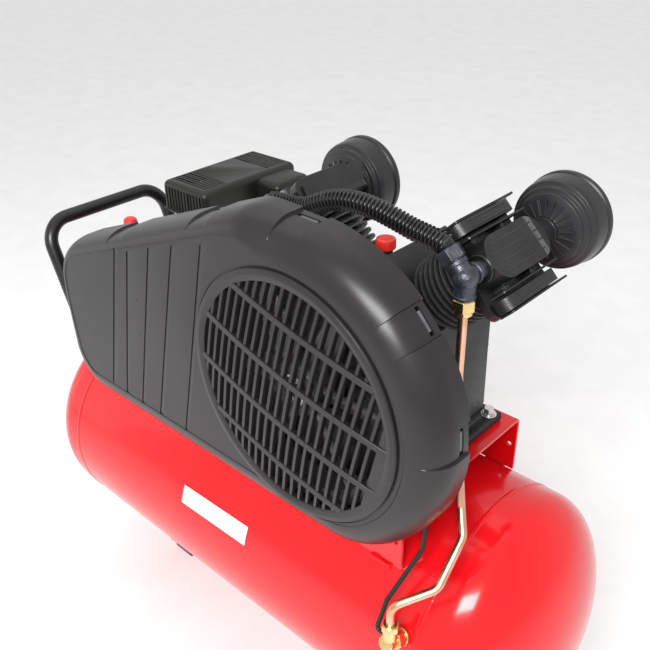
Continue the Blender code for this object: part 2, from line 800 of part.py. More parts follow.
def build_rod(bank, swing):
    """Two round eyes joined by a waisted shank, which clears the bore edge of the case at full lean."""
    big_eye, big_bore = 0.0185, 0.0118
    small_eye, small_bore = 0.0105, 0.0064
    thickness = 0.014
    shape = arc_points(0, 0, small_eye, -50, 230, 12)
    shape += arc_points(0, -ROD_LENGTH, big_eye, 115, 425, 18)
    pin_hole = circle(0, 0, small_bore, 20)
    crank_hole = circle(0, -ROD_LENGTH, big_bore, 20)
    plate(
        "rod_" + bank, [shape, pin_hole, crank_hole], thickness, (SILVER, 0.45, 1.0), (0, 0, 0),
        FACE_FRONT, swing,
    )


def build_crank(crank):
    turning = empty("crank_spin", (0, 0, 0), crank)
    shaft = lathe(
        "crankshaft",
        [
            (0, -0.0215), (0.042, -0.0215), (0.042, -0.036), (0.0150, -0.036), (0.0150, -0.182),
            (0, -0.182),
        ],
        (SILVER, 0.35, 1.0), (0, 0, 0), AXIS_BACK, turning, 22,
    )
    pin = rod_mesh("crank_pin", 0.0110, 0.012, 24)
    join(shaft, tool("crank_pin", pin, (0, -0.0205, CRANK_THROW), AXIS_BACK, turning))
    rim = FLYWHEEL_RADIUS
    half = 0.0165
    groove = rim - BELT_THICK - 0.003
    wheel = [
        (rim, half), (rim, 0.0090), (groove, 0.0063), (groove, -0.0063), (rim, -0.0090), (rim, -half),
        (rim - 0.020, -half), (rim - 0.020, half),
    ]
    flywheel = lathe(
        "flywheel", wheel, (CHARCOAL, 0.55, 0.6), (0, BELT_Y, 0), AXIS_BACK, turning, 36, True,
    )
    bore = 0.0153
    blades = 6
    spokes = []
    for index in range(blades):
        turn = 360 * index / blades
        spokes += arc_points(0, 0, rim - 0.017, turn - 3.5, turn + 3.5, 2)
        spokes += arc_points(0, 0, 0.030, turn + 16, turn + 44, 3)
    star = curve_to_mesh(
        outline_curve("flywheel_spokes", [spokes, circle(0, 0, bore, 24)], 0.020), "flywheel_spokes",
    )
    join(flywheel, tool("flywheel_spokes", star, (0, 0, 0), (math.radians(180), 0, 0), flywheel))


def build_belt():
    """The belt as it lies on both pulleys, a hair clear of the grooves."""
    big = FLYWHEEL_RADIUS + GAP * 0.5
    small = PULLEY_RADIUS + GAP * 0.5
    span = Vector((CRANK_X - MOTOR_X, CRANK_Z - MOTOR_Z))
    lean = math.degrees(math.atan2(span.y, span.x))
    loops = []
    for inset in (0.0, BELT_THICK):
        flare = math.degrees(math.asin((big - small) / span.length))
        far = arc_points(CRANK_X, CRANK_Z, big - inset, lean - 90 - flare, lean + 90 + flare, 30)
        near = arc_points(MOTOR_X, MOTOR_Z, small - inset, lean + 90 + flare, lean + 270 - flare, 12)
        loops.append(far + near)
    plate("belt", loops, BELT_WIDTH - 0.0002, (RUBBER, 0.8, 0.0), (0, BELT_Y, 0), FACE_FRONT)


def build_guard():
    plastic = (CHARCOAL, 0.38, 0.0)
    turns = [math.radians(90 * i / 4) for i in range(5)]
    outer = [(0.0, GUARD_BACK)] + [
        (GUARD_RIM * (1 - math.cos(t)), GUARD_FACE + GUARD_RIM * (1 - math.sin(t))) for t in turns
    ]
    inner = [
        (inset + GUARD_SHEET * math.cos(t), depth + GUARD_SHEET * math.sin(t))
        for (inset, depth), t in zip(outer[1:], turns)
    ]
    inner = [(GUARD_SHEET, GUARD_BACK)] + inner
    rows = outer + inner[::-1]
    shape = bmesh.new()
    loops = []
    for inset, depth in rows:
        loops.append([shape.verts.new((x, depth, z)) for x, z in guard_outline(inset)])
    count = len(loops[0])
    for here, there in zip(loops, loops[1:] + loops[:1]):
        if here is loops[len(outer) - 1]:
            continue
        for index in range(count):
            after = (index + 1) % count
            shape.faces.new((here[index], here[after], there[after], there[index]))
    shape.faces.new(loops[len(outer) - 1])
    shape.faces.new(loops[len(outer)][::-1])
    bmesh.ops.recalc_face_normals(shape, faces=shape.faces)
    mesh = bpy.data.meshes.new("guard_front")
    shape.to_mesh(mesh)
    shape.free()
    front = smooth(add("guard_front", mesh, plastic), 30)
    cx, cz = GUARD_CENTRE
    cut(
        front,
        tool(
            "grille_opening", rod_mesh("grille_opening", GRILLE_OPENING, 0.03, GRILLE_SIDES),
            (cx, GUARD_FACE, cz), FACE_FRONT,
        ),
    )
    seat = GUARD_SHEET + GAP * 2
    back = guard_outline(seat)
    holes = [circle(CRANK_X, CRANK_Z, 0.045, 20), circle(MOTOR_X, MOTOR_Z, 0.030, 16)]
    plate("guard_rear", [back, *holes], 0.003, plastic, (0, GUARD_BACK - 0.0035, 0), FACE_FRONT)
    build_grille(plastic, cx, cz)


def build_grille(plastic, cx, cz):
    slots = []
    rows = [(-GRILLE_RADIUS, -1.5), (-1.5, -0.5), (-0.5, 0.5), (0.5, 1.5), (1.5, GRILLE_RADIUS)]
    half_slot = SLOT_WIDTH / 2
    for low, high in rows:
        bottom = low if low == -GRILLE_RADIUS else low * GRILLE_BARS + GRILLE_BAR_WIDTH / 2
        top = high if high == GRILLE_RADIUS else high * GRILLE_BARS - GRILLE_BAR_WIDTH / 2
        for index in range(-6, 6):
            x = (index + 0.5) * SLOT_PITCH
            if x + half_slot > SLOT_RIGHT:
                continue
            reach = math.sqrt(max(SLOT_LIMIT**2 - (abs(x) + half_slot) ** 2, 0))
            z0 = max(bottom, -reach)
            z1 = min(top, reach)
            if z1 - z0 > 0.008:
                slots.append(
                    [(x - half_slot, z0), (x + half_slot, z0), (x + half_slot, z1), (x - half_slot, z1)]
                )
    mesh = curve_to_mesh(
        outline_curve("guard_grille", [circle(0, 0, GRILLE_RADIUS, GRILLE_SIDES), *slots], GUARD_SHEET),
        "guard_grille",
    )
    shape = bmesh.new()
    shape.from_mesh(mesh)
    bmesh.ops.triangulate(shape, faces=shape.faces)
    for vert in shape.verts:
        reach = math.hypot(vert.co.x, vert.co.y) / GRILLE_RADIUS
        vert.co.z += GRILLE_DOME * max(0.0, 1 - reach**2)
    shape.to_mesh(mesh)
    shape.free()
    grille = add(
        "guard_grille", mesh, plastic, (cx, GUARD_FACE - 0.0017, cz),
        (math.radians(90), -GRILLE_TILT, 0),
    )
    profile = [
        (0.1575, 0.0022), (0.1575, -0.0012), (0.1468, -0.0012), (0.1468, 0.0028), (0.1550, 0.0034),
    ]
    join(grille, turned_tool("grille_ring", profile, (0, 0, 0), grille, GRILLE_SIDES))


def port_place(bank):
    sign = -1 if bank == "left" else 1
    x = CRANK_X + sign * OUTLET_HEIGHT * math.sin(BANK_ANGLE)
    z = CRANK_Z + OUTLET_HEIGHT * math.cos(BANK_ANGLE)
    return Vector((x, BANK_Y[bank] - HEAD_HALF - FITTING_REACH, z))


def fitting(name, bank, lean, drop):
    """A union elbow: a spigot into the head, an arm toward the ribbed tube and, where wanted, a leg down."""
    steel = ((0.12, 0.13, 0.16, 1), 0.35, 0.9)
    hub = empty(name + "_seat", port_place(bank))
    arm = Vector((math.sin(lean), 0, math.cos(lean)))
    body = lathe(
        name,
        [
            (0, 0.0125), (0.009, 0.0105), (0.0125, 0.006), (0.0125, -0.006), (0.009, -0.0105),
            (0, -0.0125),
        ],
        steel, (0, 0, 0), (0, lean, 0), hub, 14,
    )
    join(
        body,
        tool(
            name + "_spigot", rod_mesh(name + "_spigot", 0.0084, 0.036, 12), (0, 0.018, 0), AXIS_BACK,
            hub,
        ),
    )
    join(
        body,
        tool(name + "_arm", rod_mesh(name + "_arm", 0.0092, 0.026, 12), arm * 0.014, (0, lean, 0), hub),
    )
    join(
        body,
        tool(name + "_hex", rod_mesh(name + "_hex", 0.0125, 0.014, 6), arm * 0.0285, (0, lean, 0), hub),
    )
    if drop:
        join(
            body,
            tool(
                name + "_leg", rod_mesh(name + "_leg", 0.0112, drop, 12), (0, 0, -drop / 2), parent=hub,
            ),
        )
    return [hub.location + arm * (0.0355 + GAP + lead) for lead in (0, 0.006)]


def build_air_line():
    drop = 0.023
    right_end = fitting("tee_right", "right", -math.radians(45), drop)
    left_end = fitting("elbow_left", "left", math.radians(50), 0)
    crest = [
        (0.265, -0.0650, 0.5560), (0.240, -0.068, 0.5630), (0.212, -0.072, 0.5700),
        (0.185, -0.076, 0.5715), (0.157, -0.080, 0.5660), (0.120, -0.084, 0.5500),
    ]
    ribbed = [right_end[0], *smooth_curve([right_end[1], *crest, left_end[1]], 3), left_end[0]]
    tube("ribbed_tube", ribbed, RIBBED_TUBE_RADIUS, (BLACK, 0.5, 0.2), 2)
    seat = port_place("right")
    nut_top = seat.z - drop - GAP
    lathe(
        "brass_nut",
        [
            (0.0130, nut_top), (0.0130, nut_top - 0.012), (0.0095, nut_top - 0.020),
            (0.0056, nut_top - 0.020), (0.0056, nut_top),
        ],
        (BRASS, 0.3, 1.0), (seat.x, seat.y, 0), steps=6, closed=True,
    )
    pipe = [
        (seat.x, seat.y, nut_top - 0.004), (seat.x, seat.y, 0.40), (0.350, -0.074, 0.270),
        (0.360, -0.082, 0.238), (0.376, -0.098, 0.212), (0.380, -0.150, 0.170),
        (CHECK_X, CHECK_PORT_Y, 0.150), (CHECK_X, CHECK_PORT_Y, 0.1215),
    ]
    tube("copper_pipe", rounded_path(pipe, 0.018, 3), 0.0050, (COPPER, 0.3, 1.0), 1)
    hub = empty("check_seat", CHECK_SEAT, None, CHECK_TURN)
    brass = (BRASS, 0.35, 1.0)
    valve = lathe(
        "check_valve",
        [
            (0, 0.036), (0.010, 0.036), (0.010, 0.030), (0.0135, 0.029), (0.0135, 0.008),
            (0.0105, 0.0025), (0.0088, 0.0025), (0.0088, -0.008), (0, -0.008),
        ],
        brass, parent=hub, steps=16,
    )
    join(
        valve,
        tool("check_boss", rod_mesh("check_boss", 0.0095, 0.026, 12), (CHECK_X, CHECK_PORT_Y, 0.1080)),
    )
    cut(
        valve,
        tool("check_bore", rod_mesh("check_bore", 0.0054, 0.012, 12), (CHECK_X, CHECK_PORT_Y, 0.1255)),
    )
    line = [
        (CHECK_X - 0.0140, -0.1850, 0.0862), (CHECK_X - 0.026, -0.1850, 0.0862),
        (0.322, -0.1700, 0.125), (0.338, -0.1240, 0.185), (0.338, -0.118, 0.2345),
        (0.305, -0.112, 0.2345), (-0.318, -0.112, 0.2345), (-0.318, -0.090, 0.275),
        (-0.335, -0.076, 0.286), (-0.335, MANIFOLD_Y - 0.0365, 0.286),
    ]
    tube("unloader_line", rounded_path(line, 0.012, 2), 0.0030, (BLACK, 0.4, 0.0), 1)


def build_controls():
    brass = (BRASS, 0.35, 1.0)
    zinc = (SILVER, 0.4, 1.0)
    hub = empty("manifold_seat", (MANIFOLD_X, MANIFOLD_Y, 0))
    manifold = box("manifold", (0.034, 0.034, 0.040), brass, (0, 0, 0.230), parent=hub, bevel=0.002)
    join(
        manifold,
        tool(
            "manifold_nipple", rod_mesh("manifold_nipple", 0.0090, 0.040, 12), (0, 0, 0.196), parent=hub,
        ),
    )
    join(
        manifold,
        tool(
            "manifold_cross", rod_mesh("manifold_cross", 0.0085, 0.076, 12), (0, 0, CROSS_HEIGHT),
            AXIS_BACK, hub,
        ),
    )
    join(
        manifold,
        tool(
            "manifold_side", rod_mesh("manifold_side", 0.0080, 0.030, 12), (-0.015, 0, CROSS_HEIGHT),
            AXIS_RIGHT, hub,
        ),
    )
    floor = 0.2503
    top = 0.352
    switch = box(
        "pressure_switch", (0.056, 0.072, top - floor), (BLACK, 0.5, 0.0), (0, 0, (top + floor) / 2),
        parent=hub, bevel=0.005,
    )
    cut(switch, tool("knob_bore", rod_mesh("knob_bore", 0.0056, 0.036, 12), (0, 0, top), parent=hub))
    knob = empty("knob_slide", (0, 0, top), hub)
    lathe(
        "switch_knob",
        [
            (0, 0.041), (0.007, 0.0395), (0.0108, 0.036), (0.0115, 0.032), (0.0115, 0.0085),
            (0.0050, 0.0085), (0.0050, -0.010), (0, -0.010),
        ],
        ((0.80, 0.04, 0.03, 1), 0.35, 0.0), parent=knob, steps=20,
    )
    reg_y = 0.0650
    reg_z = CROSS_HEIGHT
    regulator = lathe(
        "regulator",
        [(0, 0.026), (0.0165, 0.026), (0.0175, 0.018), (0.0175, -0.014), (0.012, -0.024), (0, -0.024)],
        zinc, (0, reg_y, reg_z), parent=hub, steps=20,
    )
    join(
        regulator,
        tool(
            "regulator_arm", rod_mesh("regulator_arm", 0.0105, 0.050, 12), (0, reg_y, reg_z), AXIS_BACK,
            hub,
        ),
    )
    cut(
        regulator,
        tool(
            "regulator_bore", rod_mesh("regulator_bore", 0.0088, 0.040, 12), (0, reg_y - 0.029, reg_z),
            AXIS_BACK, hub,
        ),
    )
    turn = empty("regulator_turn", (0, reg_y, reg_z + 0.026), hub)
    lathe(
        "regulator_knob", [(0, 0.030), (0.014, 0.030), (0.0165, 0.027), (0.0180, GAP), (0, GAP)],
        (BLACK, 0.5, 0.0), parent=turn, steps=24,
    )
    lathe(
        "pressure_gauge",
        [
            (0, 0.0435), (0.019, 0.0435), (0.0210, 0.0425), (0.0210, 0.0260), (0.019, 0.0245),
            (0.005, 0.0240), (0.005, 0.0178), (0, 0.0178),
        ],
        (SILVER, 0.3, 1.0), (0, reg_y, reg_z), (0, math.radians(-90), 0), hub, 18,
    )
    lathe(
        "safety_valve",
        [
            (0, 0.030), (0.0045, 0.030), (0.0065, 0.027), (0.0065, 0.012), (0.0095, 0.011),
            (0.0095, 0.0003), (0, 0.0003),
        ],
        brass, (-0.030, 0, CROSS_HEIGHT), (0, math.radians(-90), 0), hub, 14,
    )
    pull = empty("safety_pull", (-0.030 - 0.030, 0, CROSS_HEIGHT), hub)
    lathe(
        "safety_ring", circle(0.0090, 0, 0.0012, 6, math.pi / 2)[::-1], zinc, (-0.0105, 0, 0),
        FACE_FRONT, pull, 16, True,
    )
    tap_y = -0.038 - GAP
    tap = lathe(
        "outlet_tap",
        [
            (0, 0.046), (0.0070, 0.046), (0.0078, 0.036), (0.0090, 0.030), (0.0115, 0.026),
            (0.0115, 0.010), (0.0095, 0.008), (0.0095, 0), (0, 0),
        ],
        brass, (0, tap_y, CROSS_HEIGHT), FACE_FRONT, hub, 14,
    )
    join(
        tap,
        tool(
            "tap_stem", rod_mesh("tap_stem", 0.0048, 0.018, 12),
            (0, tap_y - 0.018, CROSS_HEIGHT + 0.0095), parent=hub,
        ),
    )
    lever = empty("tap_turn", (0, tap_y - 0.018, CROSS_HEIGHT + 0.0185 + GAP), hub)
    grip = box_mesh("tap_lever", (0.010, 0.040, 0.003), 0.001, 1)
    add("tap_lever", grip, ((0.75, 0.03, 0.03, 1), 0.4, 0.0), (0, -0.014, 0.0015), parent=lever)
    drain_top = -TANK_RADIUS - GAP
    lathe(
        "drain_valve",
        [
            (0, drain_top + 0.006), (0.0062, drain_top + 0.006), (0.0062, drain_top),
            (0.0100, drain_top), (0.0100, drain_top - 0.010), (0.0060, drain_top - 0.012),
            (0.0060, drain_top - 0.022), (0, drain_top - 0.022),
        ],
        brass, steps=24,
    )
    wing = empty("drain_turn", (0, 0, drain_top - 0.022 - GAP), ROOT)
    box("drain_wing", (0.026, 0.005, 0.012), brass, (0, 0, -0.006), parent=wing, bevel=0.0015)


clear_scene()
PARTS = make_collection("twin_stack_compressor")
CUTTERS = make_collection("cutters")
BANKS = {}
ROOT = bpy.data.objects.new("machine", None)
ROOT.location = (0, DEPTH_SHIFT, AXIS_HEIGHT)
PARTS.objects.link(ROOT)

build_tank()
build_platform()
build_undercarriage()
build_handle()
build_motor()
crank_frame = build_case()
build_banks()
build_crank(crank_frame)
build_belt()
build_guard()
build_air_line()
build_controls()
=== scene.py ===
"""Looks of the belt-driven V-twin compressor: moulded guard, castings, fittings and paint on the CAD frame.

Lengths are metres. "Machine" coordinates start at the middle of the receiver's axis; X runs along
the receiver, -Y is the guard side and Z is up. MACHINE carries them into the frame of the CAD model.
"""

import json
import math

import bmesh
import bpy
from mathutils import Matrix, Vector


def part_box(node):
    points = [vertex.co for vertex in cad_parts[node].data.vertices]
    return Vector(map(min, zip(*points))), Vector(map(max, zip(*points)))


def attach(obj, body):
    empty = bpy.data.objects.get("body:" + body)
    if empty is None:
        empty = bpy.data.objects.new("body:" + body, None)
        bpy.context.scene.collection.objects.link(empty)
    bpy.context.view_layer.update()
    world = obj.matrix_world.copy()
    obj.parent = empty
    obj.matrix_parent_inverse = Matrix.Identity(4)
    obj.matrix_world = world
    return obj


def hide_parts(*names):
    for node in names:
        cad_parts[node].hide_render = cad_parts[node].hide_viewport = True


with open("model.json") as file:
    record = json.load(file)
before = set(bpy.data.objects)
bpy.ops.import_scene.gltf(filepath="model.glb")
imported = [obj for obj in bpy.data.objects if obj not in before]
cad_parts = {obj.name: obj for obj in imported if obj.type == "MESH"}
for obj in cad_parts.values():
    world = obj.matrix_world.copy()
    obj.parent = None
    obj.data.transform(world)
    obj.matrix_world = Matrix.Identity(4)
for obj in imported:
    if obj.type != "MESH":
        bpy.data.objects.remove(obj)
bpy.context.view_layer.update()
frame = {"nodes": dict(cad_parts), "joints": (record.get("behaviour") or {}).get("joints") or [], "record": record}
SHELL_LOW, SHELL_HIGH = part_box("tank_shell")
ORIGIN = (SHELL_LOW + SHELL_HIGH) / 2
MACHINE = Matrix.Translation(ORIGIN)
JOINT = {joint["name"]: joint for joint in frame["joints"]}
ROOT = "machine"

# Receiver, platform and handle
TANK_RADIUS = (SHELL_HIGH.z - SHELL_LOW.z) / 2
SHELL_HALF = (SHELL_HIGH.x - SHELL_LOW.x) / 2
HEAD_FLANGE = 0.024
HEAD_DEPTH = 0.1022
DECK_LEFT, DECK_RIGHT = -0.325, 0.312
DECK_HALF = 0.130
DECK_TOP = 0.2257
DECK_SHEET = 0.004
SKIRT_BOTTOM = 0.1365
HANDLE_RADIUS = 0.011
HANDLE_BEND = 0.042
FLOOR = -ORIGIN.z

# Drive
CRANK = Vector(JOINT["crank_spin"]["pos_m"])
CRANK.y = ORIGIN.y
CRANK_AT = Matrix.Translation(CRANK)
MOTOR = Vector(JOINT["rotor_spin"]["pos_m"])
MOTOR.y = ORIGIN.y
MOTOR_AT = Matrix.Translation(MOTOR)
BELT_Y = -0.1625
BELT_THICK = 0.007
FLYWHEEL_RADIUS = 0.150
PULLEY_RADIUS = 0.050
STATOR_FRONT, STATOR_BACK = -0.020, 0.145

# Belt guard, front elevation in machine X and Z
GUARD_CENTRE = Vector((0.191, 0.372))
GUARD_RADIUS = 0.205
GUARD_BOTTOM = 0.183
GUARD_TOP_ANGLE, GUARD_LEFT_ANGLE = 111.0, 175.0
GUARD_LEFT_POINT = Vector((-0.2975, 0.290))
GUARD_PEAK_ANGLE, GUARD_PEAK_RADIUS, GUARD_PEAK_RUN = 88.0, 0.070, 0.063
GUARD_UPPER, GUARD_LOWER, GUARD_BLEND = 0.082, 0.070, 0.120
GUARD_RIM = 0.040
GUARD_BACK, GUARD_FACE = -0.1325, -0.192
GUARD_SHEET = 0.003
FACE_STEP = 0.0010
GRILLE_OPENING = 0.1505
GRILLE_RADIUS = 0.1495
GRILLE_DOME = 0.010
GRILLE_TILT = 14.0
# Clip pads and rim, by distance along the guard outline
PAD_HALF = 0.0195
PAD_EDGE = 0.0007
PAD_SINK = 0.0030
PAD_CENTRES = (0.285, 0.421, 0.594, 0.7407, 0.9302)
RIM_WIDE, RIM_NARROW = 0.040, 0.021
RIM_CHANGES = (0.600, 0.720, 1.150, 1.300)
# Top and bottom of each groove in the guard face
GROOVES = (
    ((-0.123, 0.4650), (-0.189, 0.2270)), ((-0.094, 0.4690), (-0.155, 0.2240)),
    ((-0.045, 0.4880), (-0.117, 0.2235)), ((0.004, 0.5060), (-0.075, 0.2235)),
    ((0.060, 0.5230), (-0.018, 0.2235)),
)

# Pump
BANK_Y = {"left": -0.005, "right": 0.020}
BANK_SIGN = {"left": -1, "right": 1}
BORE = 0.028
DECK_FACE = 0.0763
BARREL_TOP = 0.1710
HEAD_BASE = 0.1713
HEAD_SLAB = 0.1833
HEAD_TOP = 0.2160
HEAD_HALF = 0.0570
OUTLET_HEIGHT, INLET_HEIGHT = 0.201, 0.195
FILTER_NECK = {"left": 0.0, "right": 0.022}
FITTING_REACH = 0.0255

# Controls
MANIFOLD = Vector((-0.349, -0.018, 0.222))


def turn(axis, degrees):
    return Matrix.Rotation(math.radians(degrees), 4, axis)


def shift(x, y, z):
    return Matrix.Translation((x, y, z))


FACING = turn("X", 90)
ALONG_Y = turn("X", -90)
ALONG_X = turn("Y", 90)
HERE = Matrix.Identity(4)
BANK = {
    side: CRANK_AT @ shift(0, BANK_Y[side], 0) @ turn("Y", sign * 45) for side, sign in BANK_SIGN.items()
}


# ---------------------------------------------------------------- camera, lights and floor


def make_camera():
    yaw, pitch, roll = (math.radians(angle) for angle in (43.65, 31.42, -1.48))
    ahead = Vector((-math.sin(yaw) * math.cos(pitch), math.cos(yaw) * math.cos(pitch), -math.sin(pitch)))
    level = Vector((math.cos(yaw), math.sin(yaw), 0))
    down = ahead.cross(level)
    right = level * math.cos(roll) - down * math.sin(roll)
    below = level * math.sin(roll) + down * math.cos(roll)
    data = bpy.data.cameras.new("camera")
    data.lens = 44.69
    data.sensor_width = 36.0
    data.shift_y = 0.0308
    camera = bpy.data.objects.new("camera", data)
    bpy.context.scene.collection.objects.link(camera)
    axes = Matrix((right, -below, -ahead)).transposed().to_4x4()
    camera.matrix_world = MACHINE @ shift(0.7356, -0.6996, 0.8963) @ axes
    bpy.context.scene.camera = camera


def soft_light(name, place, target, size, power):
    data = bpy.data.lights.new(name, "AREA")
    data.shape = "RECTANGLE"
    data.size, data.size_y = size
    data.energy = power
    light = bpy.data.objects.new(name, data)
    bpy.context.scene.collection.objects.link(light)
    light.location = place
    light.rotation_euler = (Vector(target) - Vector(place)).to_track_quat("-Z", "Y").to_euler()


def make_stage():
    world = bpy.data.worlds.new("studio")
    world.use_nodes = True
    back = world.node_tree.nodes["Background"]
    back.inputs["Color"].default_value = (1.0, 1.0, 1.0, 1)
    back.inputs["Strength"].default_value = 0.80
    bpy.context.scene.world = world
    bpy.context.scene.view_settings.view_transform = "Standard"
    target = (0.1, 0, 0.55)
    soft_light("key", (0.95, -1.70, 2.05), target, (1.25, 0.60), 62)
    soft_light("top", (-0.5, 0.3, 2.6), target, (2.0, 1.6), 6)
    soft_light("left_fill", (-2.2, -1.3, 0.9), target, (1.2, 1.6), 4)
    mesh = bpy.data.meshes.new("floor")
    shape = bmesh.new()
    bmesh.ops.create_grid(shape, x_segments=4, y_segments=4, size=12)
    shape.to_mesh(mesh)
    shape.free()
    floor = bpy.data.objects.new("floor", mesh)
    floor.location.z = -0.0004
    bpy.context.scene.collection.objects.link(floor)
    mesh.materials.append(surface("floor_paper", (0.90, 0.90, 0.90), (0.94, 0.94, 0.94), 0.7, grain=60))


# ---------------------------------------------------------------- materials


def surface(
    name, dark, light, rough, metallic=0.0, patch=9.0, grain=420.0, relief=0.06, spread=0.07,
    coat=0.0, wear=None, specular=0.5, depth=0.025,
):
    """Colour drifts from dark to light, roughness by spread, and a fine grain lifts the surface."""
    made = bpy.data.materials.new(name)
    made.use_nodes = True
    tree = made.node_tree
    shader = tree.nodes["Principled BSDF"]
    shader.inputs["Metallic"].default_value = metallic
    shader.inputs["Coat Weight"].default_value = coat
    shader.inputs["Coat Roughness"].default_value = 0.06
    shader.inputs["Specular IOR Level"].default_value = specular
    coords = tree.nodes.new("ShaderNodeTexCoord")

    def noise(scale, detail):
        node = tree.nodes.new("ShaderNodeTexNoise")
        node.inputs["Scale"].default_value = scale
        node.inputs["Detail"].default_value = detail
        tree.links.new(coords.outputs["Object"], node.inputs["Vector"])
        return node.outputs["Fac"]

    broad = noise(patch, 5)
    ramp = tree.nodes.new("ShaderNodeValToRGB")
    ramp.color_ramp.elements[0].position = 0.34
    ramp.color_ramp.elements[0].color = (*dark, 1)
    ramp.color_ramp.elements[1].position = 0.66
    ramp.color_ramp.elements[1].color = (*light, 1)
    tree.links.new(broad, ramp.inputs["Fac"])
    colour = ramp.outputs["Color"]
    if wear:
        edge = tree.nodes.new("ShaderNodeNewGeometry")
        sharp = tree.nodes.new("ShaderNodeMapRange")
        sharp.inputs["From Min"].default_value = 0.53
        sharp.inputs["From Max"].default_value = 0.62
        tree.links.new(edge.outputs["Pointiness"], sharp.inputs["Value"])
        torn = tree.nodes.new("ShaderNodeMath")
        torn.operation = "MULTIPLY"
        tree.links.new(sharp.outputs["Result"], torn.inputs[0])
        tree.links.new(noise(patch * 9, 6), torn.inputs[1])
        mix = tree.nodes.new("ShaderNodeMix")
        mix.data_type = "RGBA"
        mix.inputs["B"].default_value = (*wear, 1)
        tree.links.new(torn.outputs["Value"], mix.inputs["Factor"])
        tree.links.new(colour, mix.inputs["A"])
        colour = mix.outputs["Result"]
    tree.links.new(colour, shader.inputs["Base Color"])
    drift = tree.nodes.new("ShaderNodeMapRange")
    drift.inputs["To Min"].default_value = max(rough - spread, 0.03)
    drift.inputs["To Max"].default_value = rough + spread
    tree.links.new(noise(patch * 4, 6), drift.inputs["Value"])
    tree.links.new(drift.outputs["Result"], shader.inputs["Roughness"])
    bump = tree.nodes.new("ShaderNodeBump")
    bump.inputs["Strength"].default_value = relief
    bump.inputs["Distance"].default_value = depth / grain
    tree.links.new(noise(grain, 3), bump.inputs["Height"])
    tree.links.new(bump.outputs["Normal"], shader.inputs["Normal"])
    return made


LOOKS = {
    "tank_red": surface(
        "red_enamel", (0.66, 0.004, 0.008), (0.75, 0.007, 0.011), 0.20, grain=230, relief=0.10,
        spread=0.05, coat=0.25, specular=0.32,
    ),
    "handle_black": surface(
        "black_powder_coat", (0.004, 0.004, 0.0045), (0.009, 0.009, 0.0095), 0.31, grain=1500, relief=0.25,
        wear=(0.10, 0.10, 0.10),
    ),
    "guard_plastic": surface(
        "guard_polymer", (0.0150, 0.0128, 0.0140), (0.0200, 0.0172, 0.0190), 0.31, grain=1900, relief=0.60,
        patch=6, spread=0.05, specular=0.36,
    ),
    "black_plastic": surface(
        "black_polymer", (0.0100, 0.0098, 0.0088), (0.0165, 0.0160, 0.0145), 0.40, grain=1700, relief=0.30,
        specular=0.36,
    ),
    "filter_plastic": surface(
        "filter_polymer", (0.0130, 0.0120, 0.0135), (0.0200, 0.0185, 0.0205), 0.33, grain=1500, relief=0.20,
        specular=0.42,
    ),
    "motor_paint": surface(
        "motor_paint", (0.034, 0.034, 0.036), (0.052, 0.052, 0.055), 0.45, 0.2, grain=900, relief=0.4,
        wear=(0.28, 0.28, 0.29),
    ),
    "pump_iron": surface(
        "cast_iron_paint", (0.011, 0.0105, 0.0118), (0.019, 0.0180, 0.0200), 0.50, 0.2, grain=520, relief=0.7,
        patch=20, spread=0.10, wear=(0.20, 0.20, 0.21), depth=0.16,
    ),
    "head_alloy": surface(
        "black_cast_alloy", (0.0070, 0.0070, 0.0072), (0.0160, 0.0155, 0.0158), 0.34, 0.1, grain=480,
        relief=0.6, patch=26, spread=0.12, wear=(0.16, 0.16, 0.17), depth=0.16,
    ),
    "fitting_steel": surface(
        "blackened_fitting", (0.045, 0.050, 0.064), (0.10, 0.105, 0.125), 0.34, 0.75, grain=380,
        relief=0.9, patch=60, spread=0.14, wear=(0.45, 0.46, 0.50), depth=0.26,
    ),
    "wheel_iron": surface(
        "turned_iron", (0.055, 0.053, 0.056), (0.095, 0.092, 0.096), 0.42, 0.6, grain=700, relief=0.5,
        wear=(0.35, 0.35, 0.36),
    ),
    "machined_steel": surface(
        "machined_steel", (0.50, 0.51, 0.53), (0.66, 0.67, 0.69), 0.30, 1.0, grain=1500, relief=0.20,
    ),
    "piston_alloy": surface(
        "piston_alloy", (0.60, 0.60, 0.61), (0.72, 0.72, 0.73), 0.36, 1.0, grain=1300, relief=0.25,
    ),
    "zinc": surface(
        "zinc_plate", (0.58, 0.58, 0.56), (0.76, 0.76, 0.74), 0.28, 1.0, patch=50, grain=1200, relief=0.25,
        spread=0.10,
    ),
    "brass": surface(
        "plain_brass", (0.72, 0.50, 0.20), (0.86, 0.66, 0.34), 0.26, 1.0, patch=60, grain=1400,
        relief=0.20, spread=0.08, wear=(0.95, 0.80, 0.50),
    ),
    "copper": surface(
        "copper_tube", (0.70, 0.36, 0.23), (0.88, 0.54, 0.38), 0.30, 1.0, patch=34, grain=900,
        relief=0.20, spread=0.09,
    ),
    "rubber": surface(
        "black_rubber", (0.012, 0.012, 0.012), (0.024, 0.024, 0.024), 0.72, grain=900, relief=0.5,
        patch=30, spread=0.08,
    ),
    "red_plastic": surface(
        "red_polymer", (0.62, 0.020, 0.014), (0.78, 0.035, 0.024), 0.32, grain=1500, relief=0.15,
        patch=60,
    ),
    "sight_window": surface(
        "sight_window", (0.42, 0.32, 0.10), (0.55, 0.42, 0.16), 0.10, grain=500, relief=0.05, patch=70,
        coat=0.8,
    ),
    "label": surface(
        "blank_label", (0.78, 0.79, 0.80), (0.85, 0.86, 0.87), 0.30, grain=1600, relief=0.08, patch=40,
    ),
    "clip": surface(
        "clip_polymer", (0.085, 0.080, 0.088), (0.12, 0.115, 0.125), 0.40, grain=1500, relief=0.20, patch=60,
    ),
    "void": surface(
        "dark_inside", (0.003, 0.003, 0.003), (0.006, 0.006, 0.006), 0.85, grain=800, relief=0.2, patch=40,
    ),
}
